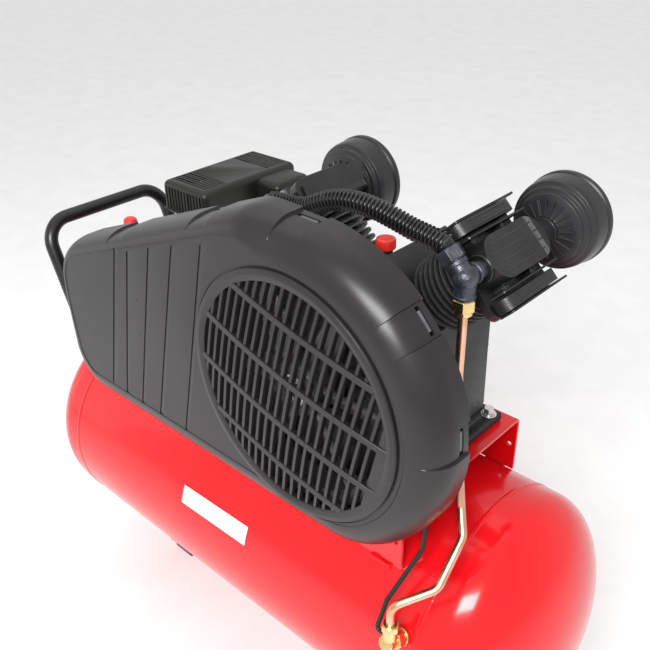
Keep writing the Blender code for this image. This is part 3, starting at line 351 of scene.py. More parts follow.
SAME_LOOK = {
    "bracket_red": "tank_red", "axle_steel": "zinc", "wheel_plastic": "black_plastic",
    "tyre_rubber": "rubber", "foot_rubber": "rubber", "tube_black": "handle_black",
    "line_black": "black_plastic", "belt_rubber": "rubber",
}


def look_of(slot):
    return LOOKS[SAME_LOOK.get(slot, slot)]


# ---------------------------------------------------------------- mesh building


def to_mesh(shape, name="mesh"):
    bmesh.ops.recalc_face_normals(shape, faces=shape.faces)
    mesh = bpy.data.meshes.new(name)
    shape.to_mesh(mesh)
    shape.free()
    return mesh


def soften(made, width, crisp):
    """Rounds the edges that are sharper than crisp degrees."""
    soft = made.modifiers.new("edges", "BEVEL")
    soft.width = width
    soft.segments = 3
    soft.limit_method = "ANGLE"
    soft.angle_limit = math.radians(crisp)
    soft.harden_normals = True


def piece(name, mesh, slot, place=None, body=ROOT, stands_for=(), crisp=32, bevel=0.0, look=None):
    """Puts a mesh in the frame, with the material of its slot, its edges and body, and hides the CAD nodes it
    stands for.
    """
    made = bpy.data.objects.new(name, mesh)
    bpy.context.scene.collection.objects.link(made)
    mesh.materials.clear()
    mesh.materials.append(look or look_of(slot))
    if place is not None:
        mesh.transform(MACHINE.inverted() @ place)
    made.matrix_world = MACHINE
    for face in mesh.polygons:
        face.use_smooth = True
    if bevel:
        soften(made, bevel, crisp)
    else:
        mesh.set_sharp_from_angle(angle=math.radians(crisp))
    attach(made, body)
    if stands_for:
        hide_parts(*([stands_for] if isinstance(stands_for, str) else stands_for))
    return made


def refine(node, width, crisp=28):
    """Softens the edges of a CAD node whose shape is right as it is."""
    made = frame["nodes"][node]
    for face in made.data.polygons:
        face.use_smooth = True
    weld = made.modifiers.new("weld", "WELD")
    weld.merge_threshold = 0.00001
    soften(made, width, crisp)


def bridge(shape, one, two):
    """Faces between two rings of as many vertices."""
    count = len(one)
    for index in range(count):
        after = (index + 1) % count
        shape.faces.new((one[index], one[after], two[after], two[index]))


def joined(parts):
    """One mesh of several (mesh, matrix) shapes."""
    shape = bmesh.new()
    for mesh, matrix in parts:
        start = len(shape.verts)
        shape.from_mesh(mesh)
        shape.verts.ensure_lookup_table()
        bmesh.ops.transform(shape, matrix=matrix, verts=shape.verts[start:])
        bpy.data.meshes.remove(mesh)
    return to_mesh(shape)


def turned(profile, segments=64, closed=False, wave=None):
    """A (radius, height) profile turned about Z; wave(angle, radius, height) may change the radius."""
    shape = bmesh.new()
    rings = []
    for radius, height in profile:
        if radius < 1e-6:
            rings.append([shape.verts.new((0, 0, height))])
            continue
        ring = []
        for step in range(segments):
            angle = 2 * math.pi * step / segments
            reach = wave(angle, radius, height) if wave else radius
            ring.append(shape.verts.new((reach * math.cos(angle), reach * math.sin(angle), height)))
        rings.append(ring)
    pairs = list(zip(rings, rings[1:]))
    if closed:
        pairs.append((rings[-1], rings[0]))
    for one, two in pairs:
        for step in range(segments):
            after = (step + 1) % segments
            if len(one) == 1 and len(two) == 1:
                break
            if len(one) == 1:
                shape.faces.new((one[0], two[step], two[after]))
            elif len(two) == 1:
                shape.faces.new((one[step], two[0], one[after]))
            else:
                shape.faces.new((one[step], two[step], two[after], one[after]))
    return to_mesh(shape)


def bent(corners, radius, pieces=6, closed=False):
    """The corner points with each corner turned into an arc of the radius, where it fits."""
    corners = [Vector(corner) for corner in corners]
    count = len(corners)
    path = []
    for index, corner in enumerate(corners):
        if not closed and index in (0, count - 1):
            path.append(corner)
            continue
        back = corners[index - 1] - corner
        ahead = corners[(index + 1) % count] - corner
        limit = 0.48 * min(back.length, ahead.length)
        back.normalize()
        ahead.normalize()
        half = math.acos(max(-1.0, min(1.0, back.dot(ahead)))) / 2
        if half > math.radians(89.5):
            path.append(corner)
            continue
        reach = min(radius / math.tan(half), limit)
        centre = corner + (back + ahead).normalized() * (reach / math.cos(half))
        start = corner + back * reach - centre
        finish = corner + ahead * reach - centre
        sweep = math.pi - 2 * half
        for step in range(pieces + 1):
            share = step / pieces
            near = math.sin((1 - share) * sweep) / math.sin(sweep)
            far = math.sin(share * sweep) / math.sin(sweep)
            path.append(centre + start * near + finish * far)
    return path


def spun(corners, radius, pieces, segments, closed=False, wave=None):
    """A profile with its corners rounded, turned about Z."""
    return turned(bent(corners, radius, pieces, closed), segments, closed, wave)


def circle(x, y, radius, count=48, start=0.0):
    angles = [start + 2 * math.pi * step / count for step in range(count)]
    return [(x + radius * math.cos(angle), y + radius * math.sin(angle)) for angle in angles]


def rectangle(width, height, x=0.0, y=0.0):
    w, h = width / 2, height / 2
    return [(x - w, y - h), (x + w, y - h), (x + w, y + h), (x - w, y + h)]


def slab(loops, thickness):
    """A flat outline with holes, thickened evenly about its local XY plane."""
    curve = bpy.data.curves.new("outline", "CURVE")
    curve.dimensions = "2D"
    curve.fill_mode = "BOTH"
    curve.extrude = thickness / 2
    for loop in loops:
        spline = curve.splines.new("POLY")
        spline.points.add(len(loop) - 1)
        for point, place in zip(spline.points, loop):
            point.co = (place[0], place[1], 0, 1)
        spline.use_cyclic_u = True
    holder = bpy.data.objects.new("outline", curve)
    bpy.context.scene.collection.objects.link(holder)
    evaluated = holder.evaluated_get(bpy.context.evaluated_depsgraph_get())
    mesh = bpy.data.meshes.new_from_object(evaluated)
    bpy.data.objects.remove(holder, do_unlink=True)
    bpy.data.curves.remove(curve)
    shape = bmesh.new()
    shape.from_mesh(mesh)
    bpy.data.meshes.remove(mesh)
    bmesh.ops.remove_doubles(shape, verts=shape.verts, dist=1e-6)
    return to_mesh(shape)


def block(size, edge=0.0, segments=3):
    shape = bmesh.new()
    bmesh.ops.create_cube(shape, size=1)
    bmesh.ops.scale(shape, vec=size, verts=shape.verts)
    if edge:
        bmesh.ops.bevel(
            shape, geom=shape.edges[:], offset=edge, segments=segments, profile=0.5, affect="EDGES",
            clamp_overlap=True,
        )
    return to_mesh(shape)


def spline_path(points, per_span=10):
    """A Catmull-Rom curve through the points."""
    points = [Vector(point) for point in points]
    padded = [2 * points[0] - points[1], *points, 2 * points[-1] - points[-2]]
    path = []
    for a, b, c, d in zip(padded, padded[1:], padded[2:], padded[3:]):
        for step in range(per_span):
            t = step / per_span
            curve = (2 * a - 5 * b + 4 * c - d) * t**2 + (3 * b - a - 3 * c + d) * t**3
            path.append(0.5 * (2 * b + (c - a) * t + curve))
    path.append(points[-1])
    return path


def evenly(path, step):
    """The path with a point every step of its length."""
    lengths = [0.0]
    for one, two in zip(path, path[1:]):
        lengths.append(lengths[-1] + (two - one).length)
    count = max(2, round(lengths[-1] / step))
    found, index = [], 0
    for number in range(count + 1):
        want = lengths[-1] * number / count
        while index < len(path) - 2 and lengths[index + 1] < want:
            index += 1
        span = lengths[index + 1] - lengths[index]
        found.append(path[index].lerp(path[index + 1], (want - lengths[index]) / span if span else 0))
    return found


def sweep(path, radius, sides=24):
    """A round tube along the path. radius is a number, or radius(distance, angle)."""
    path = [Vector(point) for point in path]
    shape = bmesh.new()
    ahead = (path[1] - path[0]).normalized()
    across = ahead.orthogonal().normalized()
    rings, distance = [], 0.0
    for index, point in enumerate(path):
        before = path[max(index - 1, 0)]
        after = path[min(index + 1, len(path) - 1)]
        ahead = (after - before).normalized()
        across = (across - ahead * across.dot(ahead)).normalized()
        other = ahead.cross(across)
        if index:
            distance += (point - path[index - 1]).length
        ring = []
        for side in range(sides):
            angle = 2 * math.pi * side / sides
            reach = radius(distance, angle) if callable(radius) else radius
            ring.append(shape.verts.new(point + (across * math.cos(angle) + other * math.sin(angle)) * reach))
        rings.append(ring)
    for one, two in zip(rings, rings[1:]):
        bridge(shape, one, two)
    shape.faces.new(rings[0][::-1])
    shape.faces.new(rings[-1])
    return to_mesh(shape)


def cut_with(mesh, cutters):
    """The mesh with each cutter mesh taken out of it."""
    holder = bpy.data.objects.new("cut_body", mesh)
    bpy.context.scene.collection.objects.link(holder)
    tools = []
    for index, cutter in enumerate(cutters):
        knife = bpy.data.objects.new("knife_%d" % index, cutter)
        bpy.context.scene.collection.objects.link(knife)
        change = holder.modifiers.new("cut", "BOOLEAN")
        change.operation = "DIFFERENCE"
        change.solver = "EXACT"
        change.object = knife
        tools.append(knife)
    evaluated = holder.evaluated_get(bpy.context.evaluated_depsgraph_get())
    result = bpy.data.meshes.new_from_object(evaluated)
    for made in [holder, *tools]:
        bpy.data.objects.remove(made, do_unlink=True)
    return result


def hexagon(across, height, chamfer=0.0008):
    """A hexagonal prism standing on Z = 0, with chamfered ends."""
    radius = across / math.sqrt(3)
    rim = radius - chamfer
    profile = [(0, 0), (rim, 0), (radius, chamfer), (radius, height - chamfer), (rim, height), (0, height)]
    return turned(profile, 6)


def cylinder(radius, height, edge=0.0008, segments=40):
    edge = min(edge, radius * 0.4, height * 0.4)
    profile = [(0, 0), (radius - edge, 0), (radius, edge), (radius, height - edge), (radius - edge, height)]
    return turned([*profile, (0, height)], segments)


def ball(radius, segments=28):
    count = 14
    profile = []
    for step in range(count + 1):
        angle = -math.pi / 2 + math.pi * step / count
        profile.append((max(radius * math.cos(angle), 0.0), radius * math.sin(angle)))
    return turned(profile, segments)


def bolt(across, height, washer):
    """Hex head on a flat washer, with a spring washer between them, standing on Z = 0."""
    return joined([
        (cylinder(washer, 0.0014, 0.0004, 28), HERE),
        (cylinder(washer * 0.78, 0.0016, 0.0004, 28), shift(0, 0, 0.0015)),
        (hexagon(across, height, 0.0007), shift(0, 0, 0.0031)),
    ])


def bolt_set(name, size, places, at=None):
    """One piece of equal bolts, a bolt at each place."""
    piece(name, joined([(bolt(*size), place) for place in places]), "zinc", at, bevel=0.0003)


# ---------------------------------------------------------------- receiver, platform, undercarriage


def build_receiver():
    sides = 160
    weld = 0.0032
    edge = SHELL_HALF - weld
    inner = TANK_RADIUS - 0.003
    profile = [(inner, -edge), (TANK_RADIUS, -edge), (TANK_RADIUS, edge), (inner, edge)]
    shell = turned(profile, sides, closed=True)
    piece("receiver_shell", shell, "tank_red", MACHINE @ ALONG_X, stands_for="tank_shell")
    for side, sign in (("left", -1), ("right", 1)):
        steps = 36
        crown = []
        for step in range(steps + 1):
            angle = math.pi / 2 * step / steps
            crown.append((TANK_RADIUS * math.sin(angle), HEAD_FLANGE + HEAD_DEPTH * math.cos(angle)))
        place = MACHINE @ shift(sign * SHELL_HALF, 0, 0) @ turn("Y", sign * 90)
        head = turned([*crown, (TANK_RADIUS, 0.0035), (inner, 0.0035)], sides)
        piece("receiver_head_" + side, head, "tank_red", place, stands_for="tank_head_" + side)
        ripple = 0.00018
        bead = []
        for step in range(9):
            angle = math.pi * step / 8
            bead.append((TANK_RADIUS - 0.0004 + 0.0012 * math.sin(angle), 0.0040 * math.cos(angle)))
        bead += [(TANK_RADIUS - 0.002, -0.0040), (TANK_RADIUS - 0.002, 0.0040)]
        ring = turned(
            bead, 480, closed=True,
            wave=lambda angle, radius, height: radius + ripple * math.sin(angle * 150 + height * 900),
        )
        piece("girth_weld_" + side, ring, "tank_red", place)
    seam = sweep(
        [Vector((x / 100, 0, 0)) for x in range(-35, 36)],
        lambda distance, angle: 0.0016 + 0.00015 * math.sin(distance * 2600), 12,
    )
    rear = math.radians(-38)
    depth = TANK_RADIUS - 0.0006
    seam_at = shift(0, depth * math.cos(rear), depth * math.sin(rear))
    piece("seam_weld", seam, "tank_red", MACHINE @ seam_at)


def build_label():
    """A blank white label lying on the receiver's front."""
    width, height, lift, slant = 0.142, 0.0297, 0.0005, 0.012
    middle = math.radians(20.3)
    shape = bmesh.new()
    rows = []
    across, along = 12, 20
    for row in range(across + 1):
        rows.append([])
        for step in range(along + 1):
            x = -0.003 + width * (step / along - 0.5)
            angle = middle + height / TANK_RADIUS * (row / across - 0.5) + slant * (step / along - 0.5)
            reach = TANK_RADIUS + lift
            rows[-1].append(shape.verts.new((x, -reach * math.cos(angle), reach * math.sin(angle))))
    for one, two in zip(rows, rows[1:]):
        for step in range(along):
            shape.faces.new((one[step], one[step + 1], two[step + 1], two[step]))
    made = piece("blank_label", to_mesh(shape), "tank_red", look=LOOKS["label"])
    thick = made.modifiers.new("thickness", "SOLIDIFY")
    thick.thickness = 0.0003
    thick.offset = 0


def build_platform():
    inner = DECK_HALF - DECK_SHEET
    under = DECK_TOP - DECK_SHEET
    low, half = SKIRT_BOTTOM, DECK_HALF
    outer = bent([(half, low), (half, DECK_TOP), (-half, DECK_TOP), (-half, low)], 0.007, 8)
    within = bent([(-inner, low), (-inner, under), (inner, under), (inner, low)], 0.003, 8)
    length = DECK_RIGHT - DECK_LEFT
    middle = (DECK_RIGHT + DECK_LEFT) / 2
    channel = slab([[*outer, *within]], length)
    channel.transform(shift(middle, 0, 0) @ turn("Z", 90) @ FACING)
    holes = []
    for x, z in ((0.302, 0.178), (-0.313, 0.178)):
        holes.append(cylinder(0.0035, 0.3, 0.0, 24))
        holes[-1].transform(shift(x, -0.15, z) @ ALONG_Y)
    deck = cut_with(channel, holes)
    piece("platform_channel", deck, "tank_red", stands_for="platform", bevel=0.0007)
    stitches = []
    for sign in (-1, 1):
        for index in range(6):
            x = -0.285 + index * 0.110
            run = [Vector((x + step * 0.004, sign * 0.1315, 0.1340)) for step in range(9)]
            bead = sweep(run, lambda distance, angle: 0.0030 + 0.0003 * math.sin(distance * 1800), 14)
            stitches.append((bead, HERE))
    piece("platform_welds", joined(stitches), "tank_red")


def build_undercarriage():
    axle_z = 0.095 + FLOOR
    x = 0.330
    for side, sign in (("front", -1), ("back", 1)):
        cheek = bent(
            [(-0.045, -0.157), (-0.016, axle_z - 0.016), (0.016, axle_z - 0.016), (0.045, -0.157)], 0.010,
            6, closed=True,
        )
        plate = slab([cheek, circle(0, axle_z, 0.0083, 32)], 0.004)
        place = MACHINE @ shift(x, sign * 0.101, 0) @ FACING
        piece(
            "axle_cheek_" + side, plate, "bracket_red", place, stands_for="axle_bracket_" + side,
            bevel=0.0006,
        )
    reach = 0.209
    ends = [(0, -reach), (0.0068, -reach), (0.008, -reach + 0.0014), (0.008, reach - 0.0014), (0.0068, reach)]
    bar = turned([*ends, (0, reach)], 40)
    piece("axle_bar", bar, "axle_steel", MACHINE @ shift(x, 0, axle_z) @ ALONG_Y, stands_for="axle")
    for side, sign in (("front", -1), ("back", 1)):
        build_wheel(side, MACHINE @ shift(x, sign * 0.188, axle_z) @ ALONG_Y)
    build_foot()


def build_wheel(side, place):
    rim, wide, radius = 0.066, 0.017, 0.095
    body = "wheel_" + side
    spokes = 5
    openings = []
    window = ((0.0270, -0.36), (0.0535, -0.46), (0.0555, 0.0), (0.0535, 0.46), (0.0270, 0.36))
    for index in range(spokes):
        middle = 2 * math.pi * index / spokes
        corners = []
        for reach, spread in window:
            corners.append((reach * math.cos(middle + spread), reach * math.sin(middle + spread)))
        openings.append(bent(corners, 0.006, 5, closed=True))
    web = slab([circle(0, 0, 0.058, 72), circle(0, 0, 0.0083, 32), *openings], 0.007)
    barrel = spun([
        (rim, wide - 0.004), (rim, -wide + 0.004), (rim - 0.004, -wide + 0.001),
        (rim - 0.010, -wide + 0.003), (rim - 0.010, wide - 0.003), (rim - 0.004, wide - 0.001),
    ], 0.0015, 3, 96, True)
    hub = spun([
        (0.0083, -wide), (0.0185, -wide), (0.0215, -0.004), (0.0215, 0.004), (0.0185, wide),
        (0.0083, wide),
    ], 0.0012, 3, 56, True)
    wheel = joined([(web, HERE), (barrel, HERE), (hub, HERE)])
    piece("wheel_disc_" + side, wheel, "wheel_plastic", place, body, "wheel_rim_" + side, bevel=0.0005)
    blocks = 44

    def tread(angle, reach, height):
        if reach < radius - 0.0055:
            return reach
        phase = (angle * blocks / (2 * math.pi) + (0.5 if height > 0 else 0.0)) % 1.0
        return reach - (0.0016 if phase < 0.22 else 0.0)

    half = [
        (rim + 0.0003, wide - 0.004), (rim + 0.004, wide), (radius - 0.010, wide),
        (radius - 0.0035, wide - 0.0030), (radius - 0.0004, wide - 0.0075), (radius, 0.0014),
        (radius - 0.0022, 0.0012),
    ]
    outline = half + [(reach, -height) for reach, height in reversed(half)]
    tyre = turned(outline, blocks * 9, closed=True, wave=tread)
    piece("wheel_tread_" + side, tyre, "tyre_rubber", place, body, "wheel_tyre_" + side, crisp=24)
    away = -1 if side == "front" else 1
    cap = spun([(0.0083, 0.0030), (0.0120, 0.0022), (0.0140, 0.0), (0.0083, 0.0)], 0.0006, 3, 48, True)
    outward = place @ shift(0, 0, away * (wide + 0.0002)) @ (turn("X", 180) if away < 0 else HERE)
    piece("wheel_nut_" + side, cap, "axle_steel", outward, bevel=0.0003)


def build_foot():
    sole, pad, half, sheet, wide = FLOOR, 0.014, 0.062, 0.004, 0.060
    floor = sole + pad
    rise = -math.sqrt(TANK_RADIUS**2 - half**2)
    outer = bent([(half, rise), (half, floor), (-half, floor), (-half, rise)], 0.008, 7)
    inside, above = half - sheet, floor + sheet
    inner = bent([(-inside, rise), (-inside, above), (inside, above), (inside, rise)], 0.004, 7)
    strap = slab([[*outer, *inner]], wide)
    place = MACHINE @ shift(-0.285, 0, 0) @ turn("Z", 90) @ FACING
    piece("foot_strap", strap, "bracket_red", place, stands_for="foot_bracket", bevel=0.0006)
    tall = pad - 0.0003
    grooves = []
    for index in range(4):
        groove = block((0.06, 0.003, 0.004))
        groove.transform(shift(0, -0.036 + index * 0.024, -tall / 2))
        grooves.append(groove)
    cushion = cut_with(block((0.050, 0.110, tall), 0.003), grooves)
    place = MACHINE @ shift(-0.285, 0, sole + tall / 2)
    piece("foot_pad", cushion, "foot_rubber", place, stands_for="rubber_foot", bevel=0.0004)
    bolt_set("foot_bolts", (0.010, 0.005, 0.009), [shift(-0.285, y, floor + sheet) for y in (-0.03, 0.03)])


def build_handle():
    half = 0.117
    foot, top = (-0.3645, 0.1565), (-0.451, 0.3855)
    corners = [
        (foot[0], -half, foot[1]), (top[0], -half, top[1]), (top[0], half, top[1]), (foot[0], half, foot[1]),
    ]
    path = bent(corners, HANDLE_BEND, 20)
    bar = sweep(path, HANDLE_RADIUS, 36)
    piece("handle_bar", bar, "handle_black", stands_for="handle")
    tabs = []
    for sign in (-1, 1):
        base = Vector((-0.352, sign * 0.113, 0.143))
        lean = math.degrees(math.atan2(base.y, base.z))
        place = Matrix.Translation(base) @ turn("X", -lean) @ shift(0, 0, 0.005)
        tabs.append((block((0.040, 0.030, 0.005), 0.0015), place))
    piece("handle_tabs", joined(tabs), "tank_red", bevel=0.0)


# ---------------------------------------------------------------- motor


def build_motor():
    fins, outer, root = 40, 0.086, 0.0785
    ring = []
    for index in range(fins):
        for share, reach in ((0.0, root), (0.34, root), (0.42, outer), (0.78, outer), (0.86, root)):
            angle = 2 * math.pi * (index + share) / fins
            ring.append((reach * math.cos(angle), reach * math.sin(angle)))
    long = STATOR_BACK - STATOR_FRONT
    middle = (STATOR_FRONT + STATOR_BACK) / 2
    housing = slab([ring, circle(0, 0, 0.060, 64)], long)
    deck = DECK_TOP + 0.0003 - (MOTOR.z - ORIGIN.z)
    foot = bent([
        (-0.072, deck), (0.072, deck), (0.072, deck + 0.009), (0.044, deck + 0.012), (0.030, -0.072),
        (-0.030, -0.072), (-0.044, deck + 0.012), (-0.072, deck + 0.009),
    ], 0.003, 4, closed=True)
    plinth = slab([foot], 0.120)
    end_wall = turned([(0.0770, 0.012), (0.0770, -0.002), (0.0124, -0.002), (0.0124, 0.012)], 64, closed=True)
    shell = joined([
        (housing, HERE), (plinth, HERE),
        (end_wall, FACING.inverted() @ shift(0, long / 2, 0) @ ALONG_Y),
    ])
    place = MOTOR_AT @ shift(0, middle, 0) @ FACING
    piece("motor_housing", shell, "motor_paint", place, stands_for="motor_stator", bevel=0.0006)
    bell = spun([
        (0.026, 0.034), (0.060, 0.030), (0.080, 0.018), (0.084, 0.010), (0.084, 0), (0.074, 0),
        (0.070, 0.012), (0.018, 0.026), (0.0125, 0.026), (0.0125, 0.040), (0.022, 0.040),
    ], 0.003, 4, 72, True)
    front = MOTOR_AT @ shift(0, STATOR_FRONT - 0.0003, 0) @ FACING
    piece("motor_bell", bell, "motor_paint", front, stands_for="motor_bell_front")
    spots = circle(0, 0, 0.071, 4, math.radians(45))
    bolt_set("motor_bell_screws", (0.008, 0.004, 0.0065), [shift(x, y, 0.0235) for x, y in spots], front)
    build_cowl()
    build_box()
    spots = [shift(x, middle + y, deck + 0.0095) for x in (-0.060, 0.060) for y in (-0.045, 0.045)]
    bolt_set("motor_bolts", (0.013, 0.006, 0.010), spots, MOTOR_AT)


def build_cowl():
    """The fan cowl: a turned cup whose end is a ring of air slots."""
    side = bent([
        (0.0660, 0.072), (0.082, 0.064), (0.0875, 0.050), (0.0875, 0), (0.0850, 0), (0.0850, 0.050),
        (0.080, 0.062), (0.0655, 0.0695),
    ], 0.004, 5, closed=True)
    slots = []
    for ring, (low, high, count) in enumerate(((0.020, 0.038, 16), (0.043, 0.062, 28))):
        half = 0.22 * 2 * math.pi / count
        for index in range(count):
            middle = 2 * math.pi * (index + 0.5 * ring) / count
            corners = [
                (reach * math.cos(middle + spread), reach * math.sin(middle + spread))
                for reach, spread in ((low, -half), (high, -half), (high, half), (low, half))
            ]
            slots.append(bent(corners, 0.0012, 3, closed=True))
    end = slab([circle(0, 0, 0.0668, 96), *slots], 0.0024)
    cowl = joined([(turned(side, 96, closed=True), HERE), (end, shift(0, 0, 0.0708))])
    place = MOTOR_AT @ shift(0, STATOR_BACK + 0.016, 0) @ ALONG_Y
    piece("fan_cowl", cowl, "black_plastic", place, stands_for="motor_fan_cowl", bevel=0.0004)


def build_box():
    """The slotted box on the motor, with the raised lobe at its inner rear corner."""
    wide, long, tall = 0.104, 0.196, 0.054
    cutters = []
    for start in (-0.082, 0.046):
        for index in range(7):
            slot = block((0.084, 0.0032, 0.014), 0.0006, 1)
            slot.transform(shift(-0.002, start + index * 0.0062, tall / 2))
            cutters.append(slot)
    for index in range(12):
        slot = block((0.0036, 0.014, 0.036), 0.0006, 1)
        slot.transform(shift(-0.041 + index * 0.0074, -long / 2, 0.001))
        cutters.append(slot)
    lid = cut_with(block((wide, long, tall), 0.0100, 6), cutters)
    seam = block((wide + 0.0016, long + 0.0016, 0.0022), 0.0007, 2)
    lobe = block((0.062, 0.074, 0.048), 0.010, 5)
    latch = block((0.006, 0.020, 0.012), 0.002, 3)
    cover = joined([
        (lid, HERE), (seam, shift(0, 0, -0.019)), (lobe, shift(0.068, 0.046, -0.0025)),
        (latch, shift(wide / 2, -0.030, -0.012)),
    ])
    place = MOTOR_AT @ shift(-0.001, 0.106, 0.1215)
    piece("motor_box", cover, "black_plastic", place, stands_for="capacitor_box", bevel=0.0005)


# ---------------------------------------------------------------- drive and guard


def build_drive():
    rim, half = FLYWHEEL_RADIUS, 0.0165
    groove = rim - BELT_THICK - 0.003
    section = bent([
        (rim, half), (rim, 0.0090), (groove, 0.0063), (groove, -0.0063), (rim, -0.0090), (rim, -half),
        (rim - 0.020, -half), (rim - 0.020, half),
    ], 0.0012, 2, closed=True)
    parts = [(turned(section, 144, closed=True), HERE)]
    hub = spun([
        (0.0155, -0.017), (0.034, -0.017), (0.037, -0.010), (0.037, 0.010), (0.034, 0.017),
        (0.0155, 0.017),
    ], 0.002, 3, 64, True)
    parts.append((hub, HERE))
    for index in range(6):
        blade = block((0.100, 0.030, 0.008), 0.0025, 3)
        place = turn("Z", 60 * index) @ shift(0.083, 0, 0) @ turn("X", 32)
        parts.append((blade, place))
    wheel_at = CRANK_AT @ shift(0, BELT_Y, 0) @ ALONG_Y
    piece("flywheel_casting", joined(parts), "wheel_iron", wheel_at, "crank", "flywheel")
    nut = bolt(0.024, 0.010, 0.020)
    nut_at = CRANK_AT @ shift(0, BELT_Y - 0.0175, 0) @ FACING
    piece("flywheel_nut", nut, "zinc", nut_at, "crank", bevel=0.0004)
    rim, half = PULLEY_RADIUS, 0.014
    groove = rim - BELT_THICK - 0.003
    section = bent([
        (rim, half), (rim, 0.0090), (groove, 0.0063), (groove, -0.0063), (rim, -0.0090), (rim, -half),
        (0.0125, -half), (0.0125, half),
    ], 0.0010, 2, closed=True)
    pulley = turned(section, 80, closed=True)
    pulley_at = MOTOR_AT @ shift(0, BELT_Y, 0) @ ALONG_Y
    piece("pulley_casting", pulley, "wheel_iron", pulley_at, "rotor", "motor_pulley")
    build_belt()


def build_belt():
    """The V belt as it lies on both pulleys, with a narrower inner face."""
    big, small = FLYWHEEL_RADIUS + 0.0002, PULLEY_RADIUS + 0.0002
    crank = Vector((CRANK.x - ORIGIN.x, CRANK.z - ORIGIN.z))
    motor = Vector((MOTOR.x - ORIGIN.x, MOTOR.z - ORIGIN.z))
    span = crank - motor
    lean = math.degrees(math.atan2(span.y, span.x))
    flare = math.degrees(math.asin((big - small) / span.length))
    shape = bmesh.new()
    rows = []
    for inset, half in ((0.0, 0.0058), (BELT_THICK, 0.0040)):
        loop = arc(crank, big - inset, lean - 90 - flare, lean + 90 + flare, 90)
        loop += arc(motor, small - inset, lean + 90 + flare, lean + 270 - flare, 40)
        for side in (-half, half) if inset == 0.0 else (half, -half):
            rows.append([shape.verts.new((x, BELT_Y + side, z)) for x, z in loop])
    for one, two in zip(rows, rows[1:] + rows[:1]):
        bridge(shape, one, two)
    piece("v_belt", to_mesh(shape), "belt_rubber", stands_for="belt")


def arc(centre, radius, start, end, count):
    angles = [math.radians(start + (end - start) * step / count) for step in range(count + 1)]
    return [(centre[0] + radius * math.cos(angle), centre[1] + radius * math.sin(angle)) for angle in angles]


def unit(degrees):
    return Vector((math.cos(math.radians(degrees)), math.sin(math.radians(degrees))))


def guard_runs():
    """The guard's outline as arcs and straights: (length, function of distance giving point and normal)."""
    top, left = unit(GUARD_TOP_ANGLE), unit(GUARD_LEFT_ANGLE)
    lift = unit(GUARD_PEAK_ANGLE)
    peak = GUARD_CENTRE + lift * (GUARD_RADIUS - GUARD_PEAK_RADIUS)
    peak += Vector((-lift.y, lift.x)) * GUARD_PEAK_RUN
    top_reach = top.dot(peak) + GUARD_PEAK_RADIUS
    left_reach = left.dot(GUARD_LEFT_POINT)
    floor = Vector((0, -1))
    upper = Matrix((top, left)).inverted() @ Vector((top_reach - GUARD_UPPER, left_reach - GUARD_UPPER))
    heel = Matrix((left, floor)).inverted() @ Vector((left_reach - GUARD_LOWER, -GUARD_BOTTOM - GUARD_LOWER))
    blend_z = GUARD_BOTTOM + GUARD_BLEND
    drop = GUARD_CENTRE.y - blend_z
    blend_x = GUARD_CENTRE.x + math.sqrt((GUARD_RADIUS - GUARD_BLEND) ** 2 - drop**2)
    blend = Vector((blend_x, blend_z))
    toe = math.degrees(math.atan2(blend.y - GUARD_CENTRE.y, blend.x - GUARD_CENTRE.x))
    arcs = [
        (blend, GUARD_BLEND, -90.0, toe), (GUARD_CENTRE, GUARD_RADIUS, toe, GUARD_PEAK_ANGLE),
        (peak, GUARD_PEAK_RADIUS, GUARD_PEAK_ANGLE, GUARD_TOP_ANGLE),
        (upper, GUARD_UPPER, GUARD_TOP_ANGLE, GUARD_LEFT_ANGLE), (heel, GUARD_LOWER, GUARD_LEFT_ANGLE, 270.0),
    ]
    runs = []
    for index, (centre, radius, start, end) in enumerate(arcs):
        def bow(distance, centre=centre, radius=radius, start=start):
            normal = unit(start + math.degrees(distance / radius))
            return centre + normal * radius, normal

        runs.append((radius * math.radians(end - start), bow))
        here = centre + unit(end) * radius
        onward, reach, begin, _ = arcs[(index + 1) % len(arcs)]
        there = onward + unit(begin) * reach
        gap = there - here
        if gap.length > 0.001:
            def run(distance, here=here, gap=gap, normal=unit(end)):
                return here + gap.normalized() * distance, normal

            runs.append((gap.length, run))
    return runs


def outline_at(runs, distance):
    """The point and outward normal at a distance along the guard's outline."""
    index = 0
    while distance > runs[index][0] and index < len(runs) - 1:
        distance -= runs[index][0]
        index += 1
    return runs[index][1](distance)


def rim_width(distance):
    """The rim is broad round the grille and narrower along the top left and the left end."""
    start, narrow, stay, stop = RIM_CHANGES
    share = min(max((distance - start) / (narrow - start), 0.0), 1.0)
    share *= min(max((stop - distance) / (stop - stay), 0.0), 1.0)
    share = share * share * (3 - 2 * share)
    return RIM_WIDE + (RIM_NARROW - RIM_WIDE) * share


def guard_stations(spacing=0.0035):
    """Outline points with their outward normals and distances, closer at the edges of the clip pads."""
    runs = guard_runs()
    total = sum(length for length, _ in runs)
    wanted = [total * step / round(total / spacing) for step in range(round(total / spacing))]
    edges = []
    for centre in PAD_CENTRES:
        for side in (-1, 1):
            edges += [centre + side * PAD_HALF, centre + side * (PAD_HALF + PAD_EDGE)]
    wanted = [s for s in wanted if min(abs(s - edge) for edge in edges) > 0.0012]
    stations = []
    for distance in sorted(wanted + edges):
        point, normal = outline_at(runs, distance)
        stations.append((point, normal, distance))
    return stations


def pad_depth(distance, angle):
    """How far the rim sinks at a clip pad; the pad deepens from the face towards the back edge."""
    across = min(abs(distance - centre) for centre in PAD_CENTRES)
    share = min(max((PAD_HALF + PAD_EDGE - across) / PAD_EDGE, 0.0), 1.0)
    ramp = min(max((66 - angle) / 44, 0.0), 1.0)
    return PAD_SINK * share * ramp


